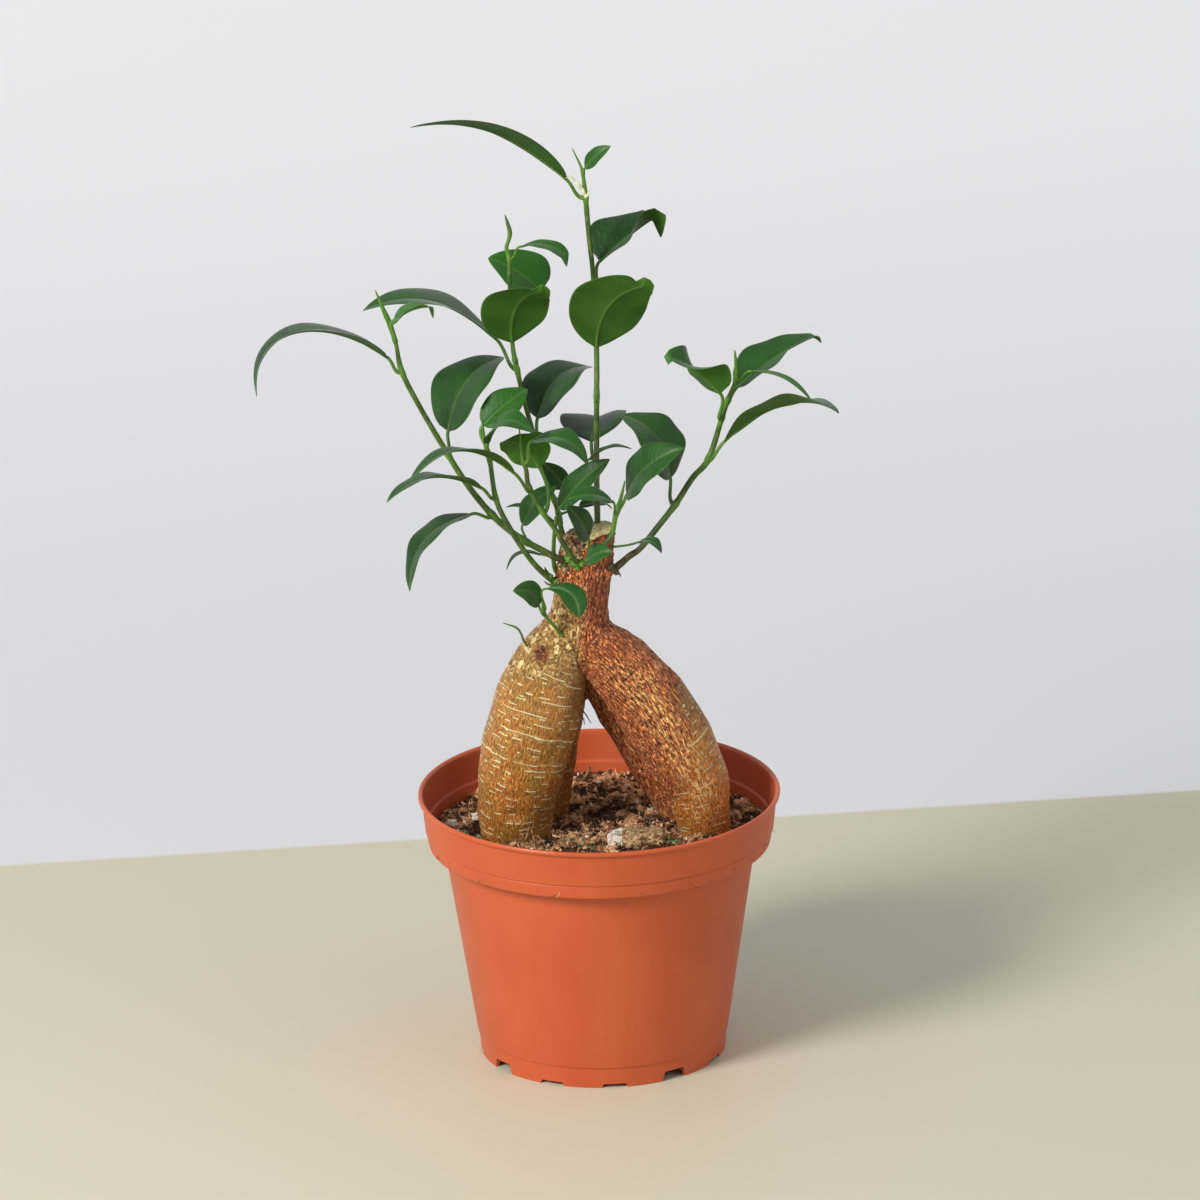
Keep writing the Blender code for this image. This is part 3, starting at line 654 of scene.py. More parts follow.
# rough red-brown bark: long tan flakes, a fine net of cracks and a few longer cracks across
flakes = grain(bent, 1.0, 5, (0.16, 0.62, 1))
fibre = grain(bent, 1.0, 4, (0.3, 1.35, 1))
cells = {"Vector": vectors("MULTIPLY", bent, (0.5, 0.88, 1)), "Scale": 1.0}
net = add("ShaderNodeTexVoronoi", cells, feature="DISTANCE_TO_EDGE").outputs[0]
cell_tone = split(add("ShaderNodeTexVoronoi", cells).outputs["Color"])[0]
rough_colour = layered(
    blend(remap(fibre, 0.38, 0.6), (0.2, 0.042, 0.012), (0.64, 0.172, 0.046)),
    (remap(cell_tone, 0.25, 0.9, 0, 0.55), (0.8, 0.245, 0.083)),
    (remap(flakes, 0.53, 0.61, 0, 0.65), (0.9, 0.34, 0.113)),
)
flecks = times(remap(fibre, 0.56, 0.61), remap(patch, 0.38, 0.52))
rough_colour = blend(times(flecks, 0.9), rough_colour, (1.0, 0.58, 0.22))
net_lines = remap(net, 0.1, 0.02)
rough_colour = layered(
    rough_colour,
    (times(net_lines, 0.7), (0.07, 0.02, 0.008)),
    (times(attribute("ruddy"), 0.8), (0.8, 0.62, 0.62), "MULTIPLY"),
)
strips = grain(bent, 1.0, 3, (0.11, 1.05, 1))
strips = times(remap(strips, 0.47, 0.52), remap(grain(bent, 1.0, 3, (0.34, 0.5, 1)), 0.4, 0.49))
gold_flakes = times(attribute("gilt"), strips)
cracks = cross_strokes(run, 3.6, 0.5, 6.0, 0.46)
cracks = times(cracks, attribute("split"))

# ring scars of fallen shoots, drawn out of round, on tan bark speckled with brown
swirl = add("ShaderNodeTexNoise", {"Vector": where, "Scale": 420.0, "Detail": 2.0}).outputs[1]
ring_place = vectors("ADD", where, vectors("MULTIPLY", swirl, (0.0022, 0.0022, 0.0022)))
ring_cells = add("ShaderNodeTexVoronoi", {"Vector": ring_place, "Scale": 250.0, "Randomness": 1.0}).outputs
ring_size = times_add(split(ring_cells["Color"])[0], 0.26, 0.16)
off_ring = less(ring_cells["Distance"], ring_size)
rings = remap(maths("ABSOLUTE", off_ring), 0.19, 0.07)
rings = times(rings, remap(deep, 0.008, -0.004, 0.25, 1))
eyes = remap(off_ring, -0.03, -0.12)
scaly = grain(where, 800, 3)
tan_colour = layered(
    blend(remap(scaly, 0.4, 0.6), (0.17, 0.085, 0.018), (0.56, 0.335, 0.1)),
    (times(eyes, 0.7), (0.22, 0.085, 0.022)),
    (times(rings, 0.85), (1.0, 0.76, 0.36)),
)

edge_mix = remap(times_add(flakes, 0.9, rough_bark), 0.62, 1.3)
colour = layered(
    blend(edge_mix, smooth_colour, rough_colour),
    (times(gold_flakes, 0.95), (1.0, 0.56, 0.19)),
    (times(cracks, 0.85), (0.05, 0.018, 0.007)),
)
tan_mix = remap(times_add(patch, 0.7, tan_bark), 0.62, 1.05)
colour = blend(times(tan_mix, 0.9), colour, tan_colour)

short_lines = cross_strokes(run, 2.7, 0.29, 5.0, 0.51)
long_lines = times(cross_strokes(run, 9.0, 0.3, 15.0, 0.46), remap(up, 0.128, 0.14))
lines = maths("MAXIMUM", short_lines, long_lines)
bare = remap(maths("MAXIMUM", rough_bark, tan_mix), 0.75, 0.25)
lines = times(lines, bare)
rough_share = remap(less(edge_mix, tan_mix), 0, 1, 0.46, 0.9)
dark_specks = times(remap(sparkle, 0.49, 0.38), rough_share)
light_specks = times(remap(sparkle, 0.51, 0.6), rough_share)
colour = layered(
    colour,
    (dark_specks, (0.34, 0.28, 0.24), "MULTIPLY"),
    (light_specks, (1.9, 1.9, 1.85), "MULTIPLY"),
    (times(lines, 0.97), (1.0, 0.86, 0.46)),
    (attribute("pale"), (0.95, 0.7, 0.36)),
)
knot_wood = blend(remap(grain(where, 700, 3), 0.42, 0.58), (0.05, 0.013, 0.005), (0.38, 0.11, 0.032))
colour = blend(times(knot_shade, 0.95), colour, knot_wood)

speckle = grain(where, 500, 4)
specks = remap(grain(where, 380, 3), 0.55, 0.6)
end_grain = blend(remap(speckle, 0.35, 0.65), (0.8, 0.6, 0.23), (1.0, 0.93, 0.47))
scar_grain = layered(
    blend(remap(speckle, 0.42, 0.58), (0.16, 0.07, 0.028), (0.56, 0.33, 0.155)),
    (specks, (0.05, 0.017, 0.008)),
)
wood_colour = blend(remap(cut_wood, 0.6, 0.9), scar_grain, end_grain)
colour = blend(remap(cut_wood, 0.2, 0.45), colour, wood_colour)
feed(Base_Color=colour)
feed(Roughness=remap(edge_mix, 0, 1, 0.42, 0.62))
relief = times(fine_streak, 1.2)
relief = times_add(times(fibre, edge_mix), 1.7, relief)
relief = times_add(times(net_lines, edge_mix), -0.7, relief)
relief = times_add(gold_flakes, 0.8, times_add(cracks, -1.0, relief))
relief = times_add(lines, 0.8, times_add(sparkle, 0.6, relief))
relief = times_add(times(rings, tan_mix), 0.9, relief)
relief = times_add(speckle, times(cut_wood, 1.2), relief)
raise_surface(relief, 0.0008, 1.0)
mesh.materials.append(bark)
mesh.shade_smooth()
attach(rootstock, "root")
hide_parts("rootstock")

# ------------------------------------------------------------------------------------------------ soil
# Loose peat mix, heaped a little behind the legs: crumbs, root fibres, white perlite, lumps of pumice with
# one big tan one at the front, a few cushions of moss, and the root hairs that hang into it.
SOIL_LEVEL = 95.8
SOIL_RADIUS = 70.2
BED_RINGS = 100
BED_SIDES = 340
RELIEF_SEED = 7


def soil_height(x, y):
    """Height of the mix and how open it is there. Its noise_vector varies from run to run unless seeded."""
    p = Vector((x, y, 40))
    share = math.hypot(x, y) / SOIL_RADIUS
    heap = 2.6 * bump_up(math.hypot(x - 4, y - 44), 32) + 2.0 * bump_up(math.hypot(x - 60, y - 6), 22)
    gap = voronoi((p + noise_vector(p / 5) * 2) / 6.0)[0][0]
    clods = 2.6 * noise(p / 11) + 3.4 * (0.42 - gap**1.4) + 0.9 * noise(p / 1.7)
    return SOIL_LEVEL + 1.5 * math.cos(share * math.pi / 2) + heap + clods * (1 - 0.5 * share**6), gap


seed_set(RELIEF_SEED)
rows = [(SOIL_RADIUS * (k / BED_RINGS) ** 0.8, SOIL_LEVEL) for k in range(BED_RINGS + 1)]
sides = [(SOIL_RADIUS, 93.8), (wall_radius(COLLAR_BOTTOM) - WALL - 0.2, 93.4),
         (wall_radius(FLOOR_BOTTOM) - WALL - 0.2, FLOOR_BOTTOM + FLOOR_THICKNESS + 0.2)]
bed = lathe("soil_bed", [*rows, *sides, (0, sides[-1][1])], BED_SIDES, [])
# Painted shade: the gaps between the clods are marked here, to be darkened in the mix's colour.
hollow = []
for vertex in bed.data.vertices:
    x, y, z = vertex.co / MM
    level, gap = soil_height(x, y)
    hollow.append(smoothstep(0.42, 0.75, gap))
    if z > SOIL_LEVEL - 1:
        vertex.co.z = level * MM
face_outwards(bed)
damp = []
for vertex in bed.data.vertices:
    x, y, z = vertex.co / MM
    damp.append(0.0 if vertex.normal.z < 0.3 or z < 90 else 1.0)
green_zone = []
for vertex, open_soil in zip(bed.data.vertices, damp):
    x, y, _ = vertex.co / MM
    zone = max(bump_up(math.hypot(x + 58, y + 8), 13), bump_up(math.hypot(x + 48, y + 24), 8),
               bump_up(math.hypot(x - 27, y + 15), 9), bump_up(math.hypot(x + 8, y + 20), 11) * 0.35)
    green_zone.append(zone * open_soil)
set_attributes(bed, open_soil=damp, hollow=hollow, moss_zone=green_zone)

peat = new_material("potting_mix", Roughness=0.9, Specular_IOR_Level=0.2)
where = object_place()
tint = attribute("tint")
clod = remap(grain(where, 105, 2), 0.36, 0.64, -0.18, 0.2)
# Painted shade darkens the gaps between the clods.
clod = times_add(attribute("hollow"), -0.45, clod)
bright = times(times(tint, tint), 0.6)
earth = maths("ADD", clod, times_add(grain(where, 520, 5), 0.9, bright))
colour = layered(
    blend(remap(earth, 0.3, 0.56), (0.055, 0.025, 0.012), (0.43, 0.215, 0.103)),
    (remap(earth, 0.58, 0.88), (0.95, 0.62, 0.36)),
)
greenish = times(attribute("moss_zone"), remap(grain(where, 500, 3), 0.42, 0.6))
colour = blend(times(greenish, 0.8), colour, (0.215, 0.215, 0.055))
# Painted light: the mix behind the legs is brightened where it faces the light.
behind = remap(split(where)[1], 0.022, 0.042)
colour = blend(behind, colour, (1.35, 1.2, 1.12), "MULTIPLY")
feed(Base_Color=colour)
raise_surface(grain(where, 1100, 4), 0.0008, 1.0)
bed.data.materials.append(peat)
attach(bed, "root")
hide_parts("soil")

# Strews a shape over a surface, as one mesh, where a named attribute of the surface is high.
tree = scatter = bpy.data.node_groups.new("scatter", "GeometryNodeTree")
scatter_inputs = {}
for name, kind in (("Surface", "NodeSocketGeometry"), ("Shape", "NodeSocketObject"),
                   ("Zone", "NodeSocketString"), ("Density", "NodeSocketFloat"),
                   ("Smallest", "NodeSocketVector"), ("Largest", "NodeSocketVector"),
                   ("Tilt", "NodeSocketFloat"), ("Seed", "NodeSocketInt"),
                   ("Finish", "NodeSocketMaterial")):
    scatter_inputs[name] = tree.interface.new_socket(name, in_out="INPUT", socket_type=kind).identifier
tree.interface.new_socket("Strewn", in_out="OUTPUT", socket_type="NodeSocketGeometry")
given = add("NodeGroupInput").outputs
zone = add("GeometryNodeInputNamedAttribute", {"Name": given["Zone"]}, data_type="FLOAT")
spread = times(given["Density"], zone.outputs[0])
spots = add("GeometryNodeDistributePointsOnFaces",
            {"Mesh": given["Surface"], "Density": spread, "Seed": given["Seed"]}, distribute_method="RANDOM")
shape = add("GeometryNodeObjectInfo", {"Object": given["Shape"]})
down = times(given["Tilt"], -1.0)
lows = add("ShaderNodeCombineXYZ", {0: down, 1: down, 2: -math.pi})
highs = add("ShaderNodeCombineXYZ", {0: given["Tilt"], 1: given["Tilt"], 2: math.pi})
turn = add("FunctionNodeRandomValue",
           {"Min": lows.outputs[0], "Max": highs.outputs[0], "Seed": given["Seed"]}, data_type="FLOAT_VECTOR")
later = maths("ADD", given["Seed"], 7.0)
size = add("FunctionNodeRandomValue",
           {"Min": given["Smallest"], "Max": given["Largest"], "Seed": later}, data_type="FLOAT_VECTOR")
laid = add("GeometryNodeInstanceOnPoints",
           {"Points": spots.outputs["Points"], "Instance": shape.outputs["Geometry"],
            "Rotation": turn.outputs["Value"], "Scale": size.outputs["Value"]})
last = maths("ADD", given["Seed"], 13.0)
shade = add("FunctionNodeRandomValue", {"Seed": last}, data_type="FLOAT")
tinted = add("GeometryNodeStoreNamedAttribute",
             {"Geometry": laid.outputs[0], "Name": "tint", "Value": shade.outputs[1]},
             data_type="FLOAT", domain="INSTANCE")
real = add("GeometryNodeRealizeInstances", {"Geometry": tinted.outputs[0]})
done = add("GeometryNodeSetMaterial", {"Geometry": real.outputs[0], "Material": given["Finish"]})
add("NodeGroupOutput", {0: done.outputs[0]})


def strew(name, surface, **values):
    """A mesh of strewn shapes, riding with the plant."""
    obj = new_object(name, surface.data.copy())
    spread = obj.modifiers.new("Scatter", "NODES")
    spread.node_group = scatter
    for key, value in values.items():
        spread[scatter_inputs[key]] = value
    apply_modifiers(obj)
    obj.data.shade_smooth()
    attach(obj, "root")
    return obj


def ball(subdivisions, radius, moved):
    """Points and faces of a sphere with each point moved by a function."""
    work = bmesh.new()
    bmesh.ops.create_icosphere(work, subdivisions=subdivisions, radius=radius)
    points = [moved(vertex.co.copy()) for vertex in work.verts]
    faces = [[vertex.index for vertex in face.verts] for face in work.faces]
    work.free()
    return points, faces


def grain_pattern(name, subdivisions, roughness, seed):
    """A lumpy grain one millimetre across, kept out of sight as a pattern for the strewing."""
    def moved(co):
        return co * (1 + roughness * noise(co / MM * 2.2 + Vector((seed, 0, 0))))

    mesh = bpy.data.meshes.new(name)
    points, faces = ball(subdivisions, 0.5 * MM, moved)
    mesh.from_pydata(points, [], faces)
    return bpy.data.objects.new(name, mesh)


crumb = grain_pattern("crumb_pattern", 1, 0.8, 3)
grit = grain_pattern("grit_pattern", 2, 0.7, 9)
fibre_route = [
    Vector((x, 0.5 * math.sin(x * 1.1), 0.4 * math.cos(x * 1.7), 0.08 - 0.008 * abs(x))) for x in range(-3, 4)
]
points, faces = tube(fibre_route, 3)
fibre_pattern = mesh_object("fibre_pattern", points, faces, [])
bpy.context.scene.collection.objects.unlink(fibre_pattern)

perlite = new_material("perlite", Roughness=0.85)
where = object_place()
colour = blend(remap(grain(where, 900, 3), 0.4, 0.62), (0.42, 0.36, 0.27), (0.8, 0.77, 0.7))
feed(Base_Color=colour)
moss = new_material("moss", Roughness=0.7)
colour = blend(attribute("tint"), (0.075, 0.115, 0.03), (0.26, 0.4, 0.16))
feed(Base_Color=colour)

strew("soil_crumbs", bed, Shape=crumb, Zone="open_soil", Density=130000.0, Smallest=(0.6, 0.5, 0.5),
      Largest=(3.0, 2.2, 1.7), Tilt=math.pi, Seed=4, Finish=peat)
strew("soil_fibres", bed, Shape=fibre_pattern, Zone="open_soil", Density=230000.0, Smallest=(0.25, 0.6, 0.6),
      Largest=(1.5, 2.4, 2.6), Tilt=0.8, Seed=11, Finish=peat)
strew("perlite_grains", bed, Shape=grit, Zone="open_soil", Density=4500.0, Smallest=(0.7, 0.7, 0.6),
      Largest=(2.6, 2.2, 1.9), Tilt=math.pi, Seed=21, Finish=perlite)
strew("moss_beads", bed, Shape=grit, Zone="moss_zone", Density=420000.0, Smallest=(0.7, 0.7, 0.7),
      Largest=(2.0, 2.0, 1.7), Tilt=math.pi, Seed=31, Finish=moss)

pumice = new_material("pumice", Roughness=0.95)
where = object_place()
pits = grain(where, 620, 5)
colour = blend(remap(pits, 0.38, 0.6), (0.17, 0.095, 0.04), (0.6, 0.385, 0.195))
pale = remap(split(where)[0], 0.01, 0.0085)
pale = maths("MULTIPLY_ADD", grain(where, 300, 3), 0.8, less(pale, 0.4), clamp=True)
colour = layered(
    colour,
    (remap(pale, 0.3, 0.6), (0.7, 0.64, 0.54)),
    (remap(grain(where, 260, 4), 0.54, 0.62, 0, 0.8), (0.17, 0.17, 0.05)),
)
feed(Base_Color=colour)
raise_surface(pits, 0.0016, 1.0)
LUMPS = [  # centre and half sizes
    ((17, -17, 98.5), (12, 8, 3.6)), ((6, -18.6, 98.9), (2.9, 3.6, 3)), ((-62, 6, 97.9), (2.3, 1.8, 1.7)),
    ((-52, 13, 98.2), (1.8, 1.7, 1.4)), ((27, -17, 99.6), (2.4, 2, 1.6)),
]
for number, (centre, sizes) in enumerate(LUMPS):
    shift = Vector((number, 0, 0))

    def moved(way):
        square = Vector([math.copysign(abs(c) ** 0.75, c) for c in way])
        spot = Vector([c * size for c, size in zip(square, sizes)])
        rough = 1 + 0.3 * noise(way * 1.7 + shift) + 0.12 * noise(spot / 1.5 + shift)
        return (Vector(centre) + spot * (rough + 0.06 * noise(spot / 0.6))) * MM

    lump = mesh_object(f"pumice_{number}", *ball(5, 1, moved), [pumice], metres=True)
    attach(lump, "root")

HAIRS = {  # x, y, z, radius
    "foot_1": [(-29.5, -17.4, 104.6, 0.35), (-30.5, -19.2, 101, 0.4), (-33, -21.5, 97, 0.3)],
    "foot_2": [(-28.5, -17.5, 103.6, 0.4), (-27.8, -19.4, 100.5, 0.42), (-26.6, -22, 96.5, 0.3)],
    "foot_3": [(-27.4, -17, 101.6, 0.3), (-24.4, -19.2, 99.2, 0.36), (-21.8, -22.4, 96, 0.3)],
    "foot_4": [(-31.5, -17.6, 101.4, 0.3), (-34.6, -19.4, 98.6, 0.36), (-38, -21, 95.6, 0.3)],
    "back": [(19.8, 25.5, 111, 0.35), (18.6, 25.2, 107, 0.4), (19.4, 25, 102.5, 0.45), (19, 24.6, 96, 0.4)],
    "twig_1": [(-6.5, 58, 97, 0.7), (-4.6, 58.6, 100.2, 0.75), (-4.0, 59.2, 103, 0.6)],
    "twig_2": [(2.6, 57, 97, 0.6), (4.4, 58, 99.6, 0.8), (5.2, 58.6, 101.4, 0.5)],
    "apex_1": [(-7.6, 3, 149.5, 0.3), (-5.2, 1.4, 147.6, 0.28), (-2.9, 0.6, 143.6, 0.16)],
    "apex_2": [(-7.6, 3, 147, 0.25), (-6, 1.6, 145.4, 0.24), (-5.6, 1, 142.8, 0.14)],
}
root_hair = new_material("root_hair", Roughness=0.7)
where = object_place()
colour = blend(remap(grain(where, 600, 3), 0.4, 0.6), (0.1, 0.042, 0.016), (0.34, 0.165, 0.06))
feed(Base_Color=colour)
points, faces = joined([tube(smooth_route(rows, 4), 8) for rows in HAIRS.values()])
hairs = mesh_object("root_hairs", points, faces, [root_hair])
face_outwards(hairs)
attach(hairs, "root")

# ------------------------------------------------------------------------------------------------ shoots
# Nine green shoots and a withered twig on the trunk and shoulder, each swollen where a leaf stalk leaves it.
# Most end in a pointed bud, and some are brown at the foot.
SHOOT_SIDES = 12
STEMS = {
    "stem_tall": [(1.2, 6, 221, 1.3), (1.3, 8.6, 234, 1.3), (1.3, 9, 252, 1.2), (1.8, 9, 281, 1.15),
        (2.2, 9, 306, 1.1), (1.4, 9, 337, 1.05), (0, 9, 354, 1.05), (-1.3, 8, 373, 1.1), (-2, 7, 382, 0.75),
        (-3, 6.8, 387, 0.55), (-6.4, 6, 395.2, 0.22)],
    "stem_middle": [(-8, 3, 218, 1.1), (-13.3, 6.5, 226, 1.1), (-15, 7, 235, 1.05), (-17.3, 8, 242.5, 1.05),
        (-21.2, 9, 254, 1.05), (-25.1, 9, 270.7, 1.05), (-27.5, 9, 280.5, 1.05), (-31, 8, 298, 1.05),
        (-32.8, 7, 310.6, 0.95), (-33.3, 6, 332.3, 0.98), (-33.3, 5, 347.6, 1.0), (-34.5, 5, 352.4, 0.85),
        (-33.5, 5, 356, 0.85), (-32.9, 5, 359.4, 0.95), (-33.8, 4.6, 363.5, 0.75), (-34.8, 4, 367.4, 0.22)],
    "stem_left": [(-9, -5, 217.5, 1.45), (-16, -9.6, 221, 1.45), (-21, -10.5, 224.2, 1.4),
        (-31.8, -11, 231, 1.4), (-42.5, -12, 241.3, 1.4), (-53.1, -13, 256, 1.3), (-62, -14, 272, 1.2),
        (-70.9, -15, 289, 1.1), (-78.6, -16, 305.9, 1.15), (-80.9, -16, 318.4, 0.85),
        (-83.2, -16.4, 327, 1.2), (-86, -17.1, 334.5, 0.9), (-89, -18, 342.8, 0.25)],
    "stem_right": [(3, -3, 210.5, 1.65), (8.5, -2.6, 213.6, 1.65), (14.4, -1, 218.1, 1.4),
        (19.1, 0, 221.2, 1.3), (26.8, 1, 230.5, 1.3), (34, 2, 239.7, 1.3), (41.3, 3, 250.8, 1.25),
        (48.1, 3, 259.1, 1.3), (53.9, 4, 276.8, 1.1), (56.1, 4, 283.4, 1.1), (59.3, 4, 291, 1.05),
        (60.2, 3.4, 296, 0.9), (60, 2.7, 301.5, 0.75), (59.6, 2, 307, 0.3)],
    "stem_low_left": [(-13, -3, 205.5, 1.3), (-18, -7, 210, 1.3), (-26.5, -14, 221.5, 1.2),
        (-35.4, -19, 238.1, 1.15), (-40.7, -20, 251, 1.1), (-42.9, -20.5, 267.8, 0.95),
        (-44.6, -20.6, 274, 0.75), (-46.3, -21, 291.6, 0.25)],
    "stem_front": [(-6.9, -7, 217.5, 1.2), (-8.8, -13, 221.5, 1.2), (-12.6, -16, 228.4, 1.15),
        (-15.9, -17, 235.5, 1.1), (-20.7, -18, 243, 1.05), (-26.8, -19, 255.5, 1.05),
        (-27.9, -20, 263.4, 0.95), (-29.5, -20, 270, 0.75), (-30.5, -22, 283, 0.25)],
    "stem_inner": [(-11.5, -1.5, 207, 0.95), (-16.6, -2.6, 213, 0.95), (-17.2, -3, 221, 0.9),
        (-16.8, -6.4, 230, 0.85), (-16.2, -10, 236, 0.85), (-15.3, -12, 241, 0.45)],
    "stem_stump": [(-3, -7, 218.5, 1.1), (0, -12.6, 223.2, 1.1), (3.4, -14.6, 227.6, 1.05),
        (7.1, -14, 232.3, 1.05), (8.9, -13.4, 240.3, 1.05), (11, -13.2, 247.3, 0.85),
        (13, -14.4, 256, 0.25)],
    "stem_shoulder": [(-13.5, -7.5, 184.6, 0.75), (-15.9, -12.2, 189.6, 0.75), (-19, -15.2, 194.6, 0.7),
        (-21.6, -17, 199.4, 0.65), (-22.4, -17.8, 207.6, 0.35)],
    "twig_withered": [(-25.5, -5.5, 175, 0.6), (-30, -9, 183.6, 0.55), (-31.4, -10.5, 188, 0.45),
        (-33.4, -11.4, 191, 0.45), (-38.7, -13, 193.7, 0.2)],
}
WOODY = {"stem_right": (205, 222, 0.9), "stem_left": (215, 226, 0.45), "stem_tall": (228, 262, 0.5),
         "stem_front": (258, 266, 0.5), "stem_middle": (363, 376, 0.5), "twig_withered": (150, 196, 0.5)}
FREE_FOOT = (4, -3, 222.5)  # where the one leaf that springs from the bark has its foot
